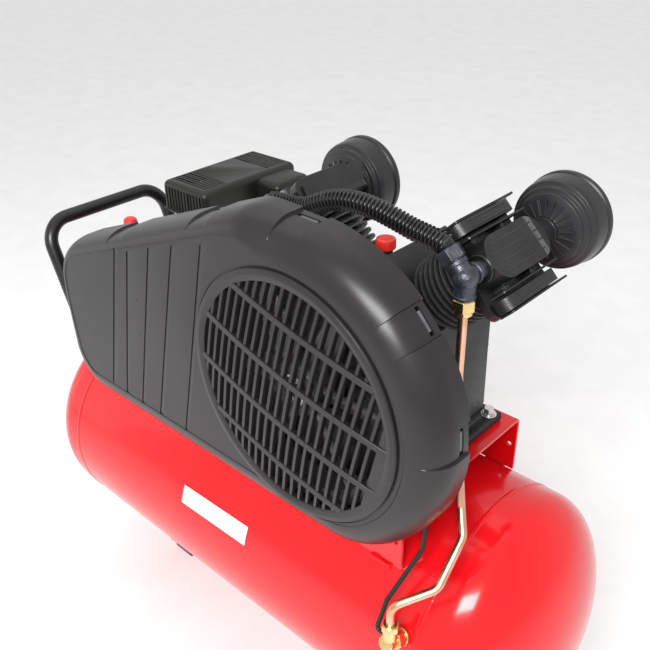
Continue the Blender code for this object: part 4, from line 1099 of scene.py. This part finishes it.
def guard_shell():
    """The moulded front: side wall, quarter-round rim, a small step and the flat face, all one sheet."""
    rows = [(0.0, GUARD_BACK, 0.0), (0.0, GUARD_BACK - 0.007, 0.0), (0.0, GUARD_BACK - 0.013, 0.0)]
    turns = 16
    for step in range(turns + 1):
        angle = 90 * step / turns
        lean = math.radians(angle)
        rows.append((1 - math.cos(lean), GUARD_FACE + GUARD_RIM * (1 - math.sin(lean)), angle))
    rows.append((1.03, GUARD_FACE + FACE_STEP, 90.0))
    stations = guard_stations()
    shape = bmesh.new()
    skins = []
    for sink in (0.0, GUARD_SHEET):
        loops = []
        for inset, depth, angle in rows:
            lean = math.radians(angle)
            loop = []
            for point, normal, distance in stations:
                deep = sink + pad_depth(distance, angle)
                across = inset * rim_width(distance) + deep * math.cos(lean)
                place = point - normal * across
                loop.append(shape.verts.new((place.x, depth + deep * math.sin(lean), place.y)))
            loops.append(loop)
        skins.append(loops)
    outside, inside = skins
    count = len(stations)
    for loops in skins:
        for one, two in zip(loops, loops[1:]):
            bridge(shape, one, two)
        shape.faces.new(loops[-1])
    for index in range(count):
        after = (index + 1) % count
        shape.faces.new((outside[0][index], inside[0][index], inside[0][after], outside[0][after]))
    return to_mesh(shape, "guard_shell")


def groove_knife(top, bottom):
    """A long wedge that leaves one sharp wall and one shallow slope in the guard's face."""
    top, bottom = Vector(top), Vector(bottom)
    run = bottom - top
    shape = bmesh.new()
    rings = []
    for share in (0.0, 1.0):
        middle = top + run * share
        ring = []
        for across, depth in ((-0.0008, -0.004), (0.0056, -0.004), (0.0056, 0.0), (-0.0008, 0.0011)):
            ring.append(shape.verts.new((middle.x + across, GUARD_FACE + FACE_STEP + depth, middle.y)))
        rings.append(ring)
    bridge(shape, *rings)
    shape.faces.new(rings[0])
    shape.faces.new(rings[1])
    return to_mesh(shape)


def pad_frame(distance):
    """A matrix at a clip pad: X along the outline, Y to the rear, Z outward."""
    point, normal = outline_at(guard_runs(), distance)
    along = Vector((normal.y, 0, -normal.x))
    outward = Vector((normal.x, 0, normal.y))
    axes = Matrix((along, Vector((0, 1, 0)), outward)).transposed().to_4x4()
    return shift(point.x, 0, point.y) @ axes


def build_guard():
    cx, cz = GUARD_CENTRE
    knives = []
    opening = cylinder(GRILLE_OPENING, 0.03, 0.0001, 128)
    opening.transform(shift(cx, GUARD_FACE + 0.015, cz) @ FACING)
    knives.append(opening)
    inner, outer, low, high = 0.1578, 0.1596, -0.0012, 0.003
    channel = turned([(inner, high), (outer, high), (outer, low), (inner, low)], 144, closed=True)
    channel.transform(shift(cx, GUARD_FACE + FACE_STEP, cz) @ FACING)
    knives.append(channel)
    for top, bottom in GROOVES:
        knives.append(groove_knife(top, bottom))
    for distance in PAD_CENTRES:
        slot = block((0.0325, 0.0062, 0.020), 0.0004, 1)
        slot.transform(pad_frame(distance) @ shift(0, -0.1445, 0))
        knives.append(slot)
    for x in (-0.150, 0.020):
        notch = block((0.012, 0.006, 0.008), 0.0005, 1)
        notch.transform(shift(x, GUARD_BACK - 0.001, GUARD_BOTTOM))
        knives.append(notch)
    shell = cut_with(guard_shell(), knives)
    piece("guard_moulding", shell, "guard_plastic", stands_for="guard_front", crisp=24)
    tongues = []
    for distance in PAD_CENTRES:
        tongue = block((0.0236, 0.0050, 0.010), 0.0006, 2)
        tongues.append((tongue, pad_frame(distance) @ shift(0, -0.1443, -0.0090)))
    piece("guard_clips", joined(tongues), "guard_plastic", look=LOOKS["clip"])
    marks = []
    for x, z in ((-0.090, 0.400), (-0.098, 0.345)):
        dimple = turned([(0, 0.0004), (0.0016, 0.0003), (0.0030, 0.0), (0.0030, -0.0004), (0, -0.0004)], 24)
        marks.append((dimple, shift(x, GUARD_FACE + FACE_STEP, z) @ FACING))
    piece("guard_gate_marks", joined(marks), "guard_plastic")
    outline = [point - normal * 0.0036 for point, normal, _ in guard_stations(0.006)]
    rear_loops = [
        outline, circle(CRANK.x - ORIGIN.x, CRANK.z - ORIGIN.z, 0.045, 48),
        circle(MOTOR.x - ORIGIN.x, MOTOR.z - ORIGIN.z, 0.030, 40),
    ]
    rear = slab(rear_loops, 0.003)
    place = MACHINE @ shift(0, GUARD_BACK - 0.0035, 0) @ FACING
    piece("guard_backplate", rear, "guard_plastic", place, stands_for="guard_rear", bevel=0.0004)
    build_grille()


def grille_lift(x, y):
    reach = math.hypot(x, y) / GRILLE_RADIUS
    return GRILLE_DOME * max(0.0, 1 - reach**2)


def bar_on_dome(start, end, width, front, back, steps=24):
    """A straight bar from start to end that follows the grille's dome, front and back measured from it."""
    start, end = Vector(start), Vector(end)
    run = end - start
    across = Vector((-run.y, run.x)).normalized() * (width / 2)
    ease = min(0.0007, width * 0.2)
    shape = bmesh.new()
    rings = []
    for step in range(steps + 1):
        middle = start + run * (step / steps)
        lift = grille_lift(middle.x, middle.y)
        ring = []
        corners = (
            (-1, front - ease), (-0.82, front), (0.82, front), (1, front - ease), (0.86, back), (-0.86, back),
        )
        for share, height in corners:
            place = middle + across * share
            ring.append(shape.verts.new((place.x, place.y, lift + height)))
        rings.append(ring)
    for one, two in zip(rings, rings[1:]):
        bridge(shape, one, two)
    shape.faces.new(rings[0][::-1])
    shape.faces.new(rings[-1])
    return to_mesh(shape)


def build_grille():
    """A domed disc of thin upright slats crossed by four broad bars, inside a raised ring."""
    pitch, slat, limit, solid = 0.01260, 0.0046, 0.1435, 0.1285
    bars, bar_width = (-0.0971, -0.03235, 0.03235, 0.0971), 0.0085
    parts = []
    count = 10
    for index in range(-count - 1, count + 1):
        x = (index + 0.5) * pitch
        if abs(x) > limit - 0.004 or x > solid:
            continue
        reach = math.sqrt(limit**2 - x**2) + 0.001
        parts.append((bar_on_dome((x, -reach), (x, reach), slat, 0.0, -0.0075), HERE))
    for z in bars:
        reach = math.sqrt(limit**2 - z**2) + 0.001
        parts.append((bar_on_dome((-reach, z), (reach, z), bar_width, 0.0012, -0.0060), HERE))
    edge = math.degrees(math.acos(solid / (limit + 0.002)))
    crescent = arc((0, 0), limit + 0.002, -edge, edge, 30)
    plate = slab([crescent], 0.003)
    parts.append((plate, shift(0, 0, -0.0003)))
    rim = bent([
        (0.1422, 0.0012), (0.1455, 0.0022), (0.1500, 0.0030), (0.1560, 0.0024), (0.1570, 0.0004),
        (0.1570, -0.0004), (0.1500, -0.0006), (0.1498, -0.0050), (0.1422, -0.0060),
    ], 0.0008, 3, closed=True)
    parts.append((turned(rim, 160, closed=True), HERE))
    cx, cz = GUARD_CENTRE
    place = MACHINE @ shift(cx, GUARD_FACE - 0.0004, cz) @ FACING @ turn("Z", -GRILLE_TILT)
    piece("grille_moulding", joined(parts), "guard_plastic", place, stands_for="guard_grille", crisp=40)


# ---------------------------------------------------------------- pump


def build_pump():
    refine("crankcase", 0.0022)
    refine("crankcase_cover", 0.0012)
    deck = DECK_TOP + 0.0003 + 0.012 - (CRANK.z - ORIGIN.z)
    spots = [shift(x, y, deck) for x in (-0.095, 0.095) for y in (-0.054, 0.094)]
    bolt_set("pump_bolts", (0.013, 0.0075, 0.0110), spots, CRANK_AT)
    spots = []
    for half, z in ((0.062, -0.125), (0.066, -0.050), (0.062, 0.018), (0.015, 0.066)):
        spots += [shift(x, 0.1104, z) @ ALONG_Y for x in (-half, half)]
    bolt_set("cover_bolts", (0.010, 0.005, 0.0075), spots, CRANK_AT)
    glass = [(0, 0.0105), (0.007, 0.0105), (0.0085, 0.0090), (0.0090, 0.001), (0, 0.001)]
    window = spun(glass, 0.0008, 3, 40)
    rear = CRANK_AT @ shift(0, 0.104, -0.085) @ ALONG_Y
    piece("oil_window", window, "sight_window", rear, stands_for="sight_glass")
    edge = [(0.0082, 0.0070), (0.0130, 0.0070), (0.0130, 0.0092), (0.0088, 0.0108)]
    bezel = spun(edge, 0.0006, 3, 48, True)
    piece("oil_window_bezel", bezel, "zinc", rear)

    def knurl(angle, radius, height):
        return radius - (0.0006 if radius > 0.011 and math.sin(angle * 24) > 0.2 else 0.0)

    cap = spun([
        (0, 0.0125), (0.0085, 0.0140), (0.0118, 0.0130), (0.0125, 0.0105), (0.0125, 0.0006),
        (0.0055, 0.0004), (0.0055, -0.010), (0, -0.010),
    ], 0.0008, 3, 144, wave=knurl)
    cap_at = Matrix.Translation(JOINT["oil_cap_turn"]["pos_m"])
    piece("filler_cap", cap, "red_plastic", cap_at, "oil_cap", "oil_cap", crisp=30)
    for side in BANK:
        build_barrel(side)
        build_head(side)
        build_filter(side)


def build_barrel(side):
    top, floor, wall = BARREL_TOP, DECK_FACE, 0.0355
    fins = 8
    section = [(BORE, top), (0.050, top), (0.050, top - 0.005), (wall, top - 0.0055)]
    start, stop = floor + 0.018, top - 0.012
    for index in range(fins - 1, -1, -1):
        low = start + (stop - start) * index / (fins - 1)
        section += [(wall, low + 0.0016), (0.0488, low + 0.0013)]
        section += [(0.0488, low - 0.0009), (wall, low - 0.0014)]
    section += [(wall, floor + 0.009), (0.0370, floor + 0.007), (0.0370, floor), (BORE, floor)]
    piece(
        "finned_barrel_" + side, turned(section, 72, closed=True), "pump_iron", BANK[side],
        stands_for="barrel_" + side, crisp=28,
    )


def upright(outline, x, thick):
    """A plate across the head at x, from an outline in (Y, height)."""
    plate = slab([outline], thick)
    plate.transform(shift(x, 0, 0) @ turn("Z", 90) @ FACING)
    return plate


def build_head(side):
    """Casting with a round-ended ribbed chest, a thick lobe on each side and thin pointed outer fins."""
    base = slab([bent(rectangle(2 * HEAD_HALF, 2 * HEAD_HALF), 0.014, 7, closed=True)], HEAD_SLAB - HEAD_BASE)
    parts = [(base, shift(0, 0, (HEAD_SLAB + HEAD_BASE) / 2))]
    crown = HEAD_TOP - 0.0014
    foot = HEAD_SLAB - 0.004
    chest = slab([bent(rectangle(0.052, 0.110, 0, 0.001), 0.0255, 12, closed=True)], crown - foot)
    parts.append((chest, shift(0, 0, (crown + foot) / 2)))
    for x in (-0.0165, -0.0055, 0.0055, 0.0165):
        long = 0.100 - abs(x) * 1.2
        parts.append((block((0.0016, long, 0.006), 0.0006, 2), shift(x, 0.001, crown - 0.0022)))
    for sign in (-1, 1):
        lobe = bent([(-0.056, foot), (0.046, foot), (0.046, 0.2090), (-0.056, 0.2090)], 0.021, 9, closed=True)
        parts.append((upright(lobe, sign * 0.0462, 0.0140), HERE))
        for x in (0.0420, 0.0504):
            parts.append((block((0.0014, 0.066, 0.003), 0.0005, 2), shift(sign * x, -0.005, 0.2093)))
        for x, high, reach in ((0.0562, 0.2045, 0.063), (0.0340, 0.2080, 0.061)):
            fin = bent([
                (-0.050, foot), (0.050, foot), (0.056, high - 0.008), (reach, high + 0.001),
                (0.044, high - 0.0005), (-0.046, high - 0.004),
            ], 0.004, 4, closed=True)
            parts.append((upright(fin, sign * x, 0.0024), HERE))
        for y in (-0.030, 0.026):
            edge = [(0.0034, 0), (0.0062, 0), (0.0062, 0.013), (0.0034, 0.013)]
            ring = spun(edge, 0.0006, 3, 32, True)
            parts.append((ring, shift(sign * 0.0305, y, HEAD_SLAB - 0.001)))
    for y in (-HEAD_HALF + 0.001, HEAD_HALF - 0.007):
        height = OUTLET_HEIGHT if y < 0 else INLET_HEIGHT
        parts.append((cylinder(0.0165, 0.006, 0.001, 40), shift(0, y, height - 0.002) @ ALONG_Y))
    piece(
        "finned_head_" + side, joined(parts), "head_alloy", BANK[side], stands_for="head_" + side,
        crisp=30, bevel=0.0005,
    )
    screws = []
    for sign in (-1, 1):
        for y in (-0.030, 0.026):
            screws.append((hexagon(0.0062, 0.012, 0.0006), shift(sign * 0.0305, y, HEAD_SLAB - 0.001)))
    dark = LOOKS["fitting_steel"]
    piece("head_bolts_" + side, joined(screws), "head_alloy", BANK[side], bevel=0.0002, look=dark)


def build_filter(side):
    """Intake filter: neck with small ribs, stepped front, drum with a groove near its rear rim."""
    profile = bent([
        (0.0122, -0.012), (0.0122, 0.0004), (0.0165, 0.0004), (0.0175, 0.0060), (0.0300, 0.0095),
        (0.0440, 0.0125), (0.0450, 0.0170), (0.0500, 0.0180), (0.0515, 0.0230), (0.0560, 0.0240),
        (0.0575, 0.0300), (0.0592, 0.0480), (0.0576, 0.0492), (0.0576, 0.0508), (0.0604, 0.0520),
        (0.0604, 0.0580), (0.0590, 0.0606), (0.0500, 0.0610), (0.0490, 0.0596), (0.0120, 0.0596),
        (0.0110, 0.0606), (0, 0.0608),
    ], 0.0010, 3)
    shrink = 0.955
    outline = [(point.x * (shrink if point.y > 0.005 else 1), point.y) for point in profile]
    drum = turned([(0, -0.012), *outline], 96)
    ribs = []
    for index in range(20):
        angle = 18 * index
        rib = block((0.019, 0.0016, 0.005), 0.0005, 1)
        ribs.append((rib, turn("Z", angle) @ shift(0.0265, 0, 0.0085) @ turn("Y", -14)))
    neck = FILTER_NECK[side]
    place = BANK[side] @ shift(0, HEAD_HALF + neck, INLET_HEIGHT) @ ALONG_Y
    duct = cylinder(0.0150, neck + 0.006, 0.0008, 48)
    can = joined([(drum, HERE), (duct, shift(0, 0, -neck)), *ribs])
    piece("filter_can_" + side, can, "filter_plastic", place, stands_for="filter_" + side, crisp=26)


# ---------------------------------------------------------------- air line


def port(side):
    x = CRANK.x - ORIGIN.x + BANK_SIGN[side] * OUTLET_HEIGHT * math.sin(math.radians(45))
    z = CRANK.z - ORIGIN.z + OUTLET_HEIGHT * math.cos(math.radians(45))
    return Vector((x, BANK_Y[side] - HEAD_HALF - FITTING_REACH, z))


def build_fitting(name, side, lean, drop, stands_for):
    """A cast elbow or tee with a hex union towards the ribbed tube."""
    arm = turn("Y", lean)
    parts = [
        (ball(0.0140), HERE),
        (cylinder(0.0098, 0.036, 0.0006, 36), ALONG_Y),
        (cylinder(0.0122, 0.006, 0.001, 36), shift(0, 0.012, 0) @ ALONG_Y),
        (cylinder(0.0112, 0.026, 0.0006, 36), arm),
        (cylinder(0.0125, 0.006, 0.001, 36), arm @ shift(0, 0, 0.014)),
        (hexagon(0.0255, 0.0150, 0.0010), arm @ shift(0, 0, 0.0205)),
    ]
    if drop:
        parts.append((cylinder(0.0122, drop, 0.0006, 36), turn("X", 180)))
        parts.append((cylinder(0.0128, 0.005, 0.001, 36), shift(0, 0, -drop)))
    piece(
        name, joined(parts), "fitting_steel", MACHINE @ Matrix.Translation(port(side)), stands_for=stands_for,
        crisp=30, bevel=0.0004,
    )
    along = Vector((math.sin(math.radians(lean)), 0, math.cos(math.radians(lean))))
    return [port(side) + along * lead for lead in (0.0360, 0.0420)]


def build_air_line():
    drop = 0.023
    right = build_fitting("outlet_tee", "right", -45, drop, "tee_right")
    left = build_fitting("outlet_elbow", "left", 50, 0, "elbow_left")
    crest = [
        (0.265, -0.0650, 0.5560), (0.240, -0.068, 0.5630), (0.212, -0.072, 0.5700), (0.185, -0.076, 0.5715),
        (0.157, -0.080, 0.5660), (0.120, -0.084, 0.5500),
    ]
    route = evenly(spline_path([*right, *crest, left[1], left[0]], 12), 0.0008)
    pitch, fin, core = 0.0048, 0.0122, 0.0094

    def finned(distance, angle):
        phase = (distance / pitch - angle / (2 * math.pi)) % 1.0
        return fin if phase < 0.30 else core + 0.0006 * (1 if phase < 0.38 or phase > 0.92 else 0)

    piece("finned_tube", sweep(route, finned, 32), "tube_black", stands_for="ribbed_tube", crisp=50)
    seat = port("right")
    nut_top = seat.z - drop - 0.0003
    nut = joined([
        (hexagon(0.0232, 0.0135, 0.0011), shift(0, 0, -0.0135)),
        (cylinder(0.0098, 0.007, 0.0012, 40), shift(0, 0, -0.020)),
    ])
    nut_at = MACHINE @ shift(seat.x, seat.y, nut_top)
    piece("union_nut", nut, "brass", nut_at, stands_for="brass_nut", bevel=0.0003)
    check_x, check_y = 0.345, -0.1912
    pipe = [
        (seat.x, seat.y, nut_top - 0.004), (seat.x, seat.y, 0.40), (0.350, -0.074, 0.270),
        (0.360, -0.082, 0.238), (0.376, -0.098, 0.212), (0.380, -0.150, 0.170),
        (check_x, check_y, 0.150), (check_x, check_y, 0.1215),
    ]
    piece("delivery_pipe", sweep(bent(pipe, 0.020, 12), 0.0052, 32), "copper", stands_for="copper_pipe")
    lean = math.radians(65)
    seat_at = shift(check_x, -TANK_RADIUS * math.sin(lean), TANK_RADIUS * math.cos(lean)) @ turn("X", 65)
    boss_z = 0.0950
    valve = joined([
        (cylinder(0.0100, 0.036, 0.001, 40), seat_at),
        (hexagon(0.0250, 0.013, 0.0011), seat_at @ shift(0, 0, 0.0100)),
        (cylinder(0.0125, 0.004, 0.0012, 40), seat_at @ shift(0, 0, 0.0022)),
        (cylinder(0.0092, 0.026, 0.0008, 40), shift(check_x, check_y, boss_z)),
        (hexagon(0.0190, 0.010, 0.0010), shift(check_x, check_y, boss_z + 0.0155)),
    ])
    piece("non_return_valve", valve, "brass", stands_for="check_valve", bevel=0.0003)
    line = [
        (check_x - 0.0140, -0.1850, 0.0862), (check_x - 0.026, -0.1850, 0.0862), (0.322, -0.1700, 0.125),
        (0.338, -0.1240, 0.185), (0.338, -0.118, 0.2345), (0.305, -0.112, 0.2345), (-0.318, -0.112, 0.2345),
        (-0.318, -0.090, 0.275), (-0.335, -0.076, 0.286), (-0.335, MANIFOLD.y - 0.0365, 0.286),
    ]
    piece("thin_line", sweep(bent(line, 0.016, 10), 0.0030, 20), "line_black", stands_for="unloader_line")


# ---------------------------------------------------------------- controls


def build_controls():
    hub = MACHINE @ Matrix.Translation(MANIFOLD)
    cross = joined([
        (block((0.034, 0.034, 0.040), 0.003, 3), shift(0, 0, 0.008)),
        (cylinder(0.0090, 0.040, 0.0006, 36), shift(0, 0, -0.046)),
        (hexagon(0.022, 0.010, 0.001), shift(0, 0, -0.024)),
        (cylinder(0.0085, 0.076, 0.0006, 36), shift(0, -0.038, 0) @ ALONG_Y),
        (cylinder(0.0080, 0.030, 0.0006, 36), shift(-0.030, 0, 0) @ ALONG_X),
    ])
    piece("cross_block", cross, "brass", hub, stands_for="manifold", bevel=0.0003)
    floor, top = 0.2503 - MANIFOLD.z, 0.352 - MANIFOLD.z
    body = block((0.056, 0.072, top - floor), 0.0055, 4)
    bore = cylinder(0.0058, 0.04, 0.0001, 32)
    bore.transform(shift(0, 0, (top - floor) / 2 - 0.018))
    seam = block((0.0572, 0.0732, 0.0020), 0.0006, 2)
    case = joined([
        (cut_with(body, [bore]), shift(0, 0, (top + floor) / 2)), (seam, shift(0, 0, floor + 0.022)),
        (cylinder(0.0085, 0.012, 0.001, 36), shift(0.027, 0.010, floor + 0.034) @ ALONG_X),
    ])
    piece("switch_case", case, "black_plastic", hub, stands_for="pressure_switch", bevel=0.0004)
    knob = spun([
        (0, 0.0410), (0.0070, 0.0400), (0.0106, 0.0370), (0.0115, 0.0325), (0.0115, 0.0100), (0.0100, 0.0085),
        (0.0050, 0.0085), (0.0050, -0.010), (0, -0.010),
    ], 0.002, 4, 56)
    piece("switch_button", knob, "red_plastic", hub @ shift(0, 0, top), "switch_knob", "switch_knob")
    reg = hub @ shift(0, 0.065, 0)
    bonnet = spun([
        (0, 0.0255), (0.0160, 0.0255), (0.0175, 0.018), (0.0175, -0.014), (0.012, -0.024), (0, -0.024),
    ], 0.002, 4, 56)
    regulator = joined([
        (bonnet, HERE),
        (cylinder(0.0105, 0.050, 0.001, 36), shift(0, -0.025, 0) @ ALONG_Y),
        (hexagon(0.021, 0.008, 0.001), shift(0, 0.0175, 0) @ ALONG_Y),
    ])
    piece("regulator_body", regulator, "zinc", reg, stands_for="regulator", bevel=0.0003)

    def fluted(angle, radius, height):
        return radius - (0.0007 if radius > 0.0135 and math.sin(angle * 20) > 0 else 0.0)

    edge = [(0, 0.0300), (0.0130, 0.0300), (0.0165, 0.0270), (0.0180, 0.0006), (0, 0.0004)]
    dial = spun(edge, 0.0012, 3, 160, wave=fluted)
    dial_at = reg @ shift(0, 0, 0.026)
    piece("regulator_dial", dial, "black_plastic", dial_at, "regulator_knob", "regulator_knob", crisp=30)
    face_on = reg @ turn("Y", -90)
    case = spun([
        (0, 0.0405), (0.0180, 0.0405), (0.0188, 0.0434), (0.0210, 0.0425), (0.0210, 0.0260),
        (0.019, 0.0245), (0.005, 0.0240), (0.005, 0.0178), (0, 0.0178),
    ], 0.0006, 3, 64)
    piece("gauge_case", case, "zinc", face_on, stands_for="pressure_gauge")
    dial_face = cylinder(0.0178, 0.0006, 0.0001, 56)
    piece("gauge_dial", dial_face, "zinc", face_on @ shift(0, 0, 0.0406), look=LOOKS["label"])
    ticks = []
    for index in range(13):
        angle = -135 + 22.5 * index
        ticks.append((block((0.0006, 0.0030, 0.0002)), turn("Z", angle) @ shift(0, 0.0145, 0)))
    ticks.append((block((0.0008, 0.0130, 0.0003)), turn("Z", 135) @ shift(0, 0.0050, 0)))
    ticks.append((cylinder(0.0018, 0.0006, 0.0002, 20), HERE))
    piece("gauge_marks", joined(ticks), "zinc", face_on @ shift(0, 0, 0.0413), look=LOOKS["void"])
    relief = spun([
        (0, 0.030), (0.0045, 0.030), (0.0065, 0.027), (0.0065, 0.012), (0.0095, 0.011),
        (0.0095, 0.0003), (0, 0.0003),
    ], 0.0008, 3, 40)
    side = hub @ shift(-0.030, 0, 0) @ turn("Y", -90)
    piece("relief_valve", relief, "brass", side, stands_for="safety_valve")
    ring = turned(circle(0.0090, 0, 0.0011, 12), 48, closed=True)
    piece("relief_ring", ring, "zinc", hub @ shift(-0.0705, 0, 0) @ FACING, "safety_ring", "safety_ring")
    tap_y = -0.0383
    spout = spun([
        (0, 0.046), (0.0070, 0.046), (0.0078, 0.036), (0.0090, 0.030), (0.0115, 0.026), (0.0115, 0.010),
        (0.0095, 0.008), (0.0095, 0), (0, 0),
    ], 0.0012, 3, 44)
    tap = joined([
        (spout, FACING),
        (hexagon(0.019, 0.007, 0.0008), shift(0, -0.001, 0) @ FACING),
        (cylinder(0.0048, 0.018, 0.0006, 28), shift(0, -0.018, 0.0005)),
    ])
    piece("drain_side_tap", tap, "brass", hub @ shift(0, tap_y, 0), stands_for="outlet_tap", bevel=0.0003)
    lever_at = Matrix.Translation(JOINT["tap_lever_turn"]["pos_m"])
    edge = [(-0.005, -0.034), (0.005, -0.034), (0.0056, 0.006), (-0.0056, 0.006)]
    grip = slab([bent(edge, 0.004, 6, closed=True)], 0.003)
    lever = joined([(grip, shift(0, 0, 0.0015)), (cylinder(0.0042, 0.0024, 0.0006, 28), shift(0, 0, 0.0026))])
    piece("tap_grip", lever, "red_plastic", lever_at, "tap_lever", "tap_lever", bevel=0.0005)
    under = -TANK_RADIUS - 0.0003
    stem = spun([
        (0, 0.006), (0.0062, 0.006), (0.0062, 0), (0.0100, 0), (0.0100, -0.010), (0.0060, -0.012),
        (0.0060, -0.022), (0, -0.022),
    ], 0.0006, 3, 44)
    cock = joined([
        (stem, HERE),
        (hexagon(0.019, 0.006, 0.0008), shift(0, 0, -0.009)),
    ])
    piece("drain_cock", cock, "brass", MACHINE @ shift(0, 0, under), stands_for="drain_valve", bevel=0.0003)
    wing = joined([
        (block((0.026, 0.0045, 0.011), 0.0018, 3), shift(0, 0, -0.0065)),
        (cylinder(0.0052, 0.012, 0.0008, 28), shift(0, 0, -0.012)),
    ])
    wing_at = Matrix.Translation(JOINT["drain_wing_turn"]["pos_m"])
    piece("drain_key", wing, "brass", wing_at, "drain_wing", "drain_wing", bevel=0.0003)


def paint_frame():
    """Every CAD node that stays takes the look of its own material slot."""
    for row in frame["record"]["subparts"]:
        node = frame["nodes"][row["node"]]
        if not node.material_slots:
            node.data.materials.append(look_of(row["material_slot"]))
        for holder in node.material_slots:
            holder.material = look_of(row["material_slot"])


make_camera()
make_stage()
paint_frame()
build_receiver()
build_label()
build_platform()
build_undercarriage()
build_handle()
build_motor()
build_drive()
build_guard()
build_pump()
build_air_line()
build_controls()
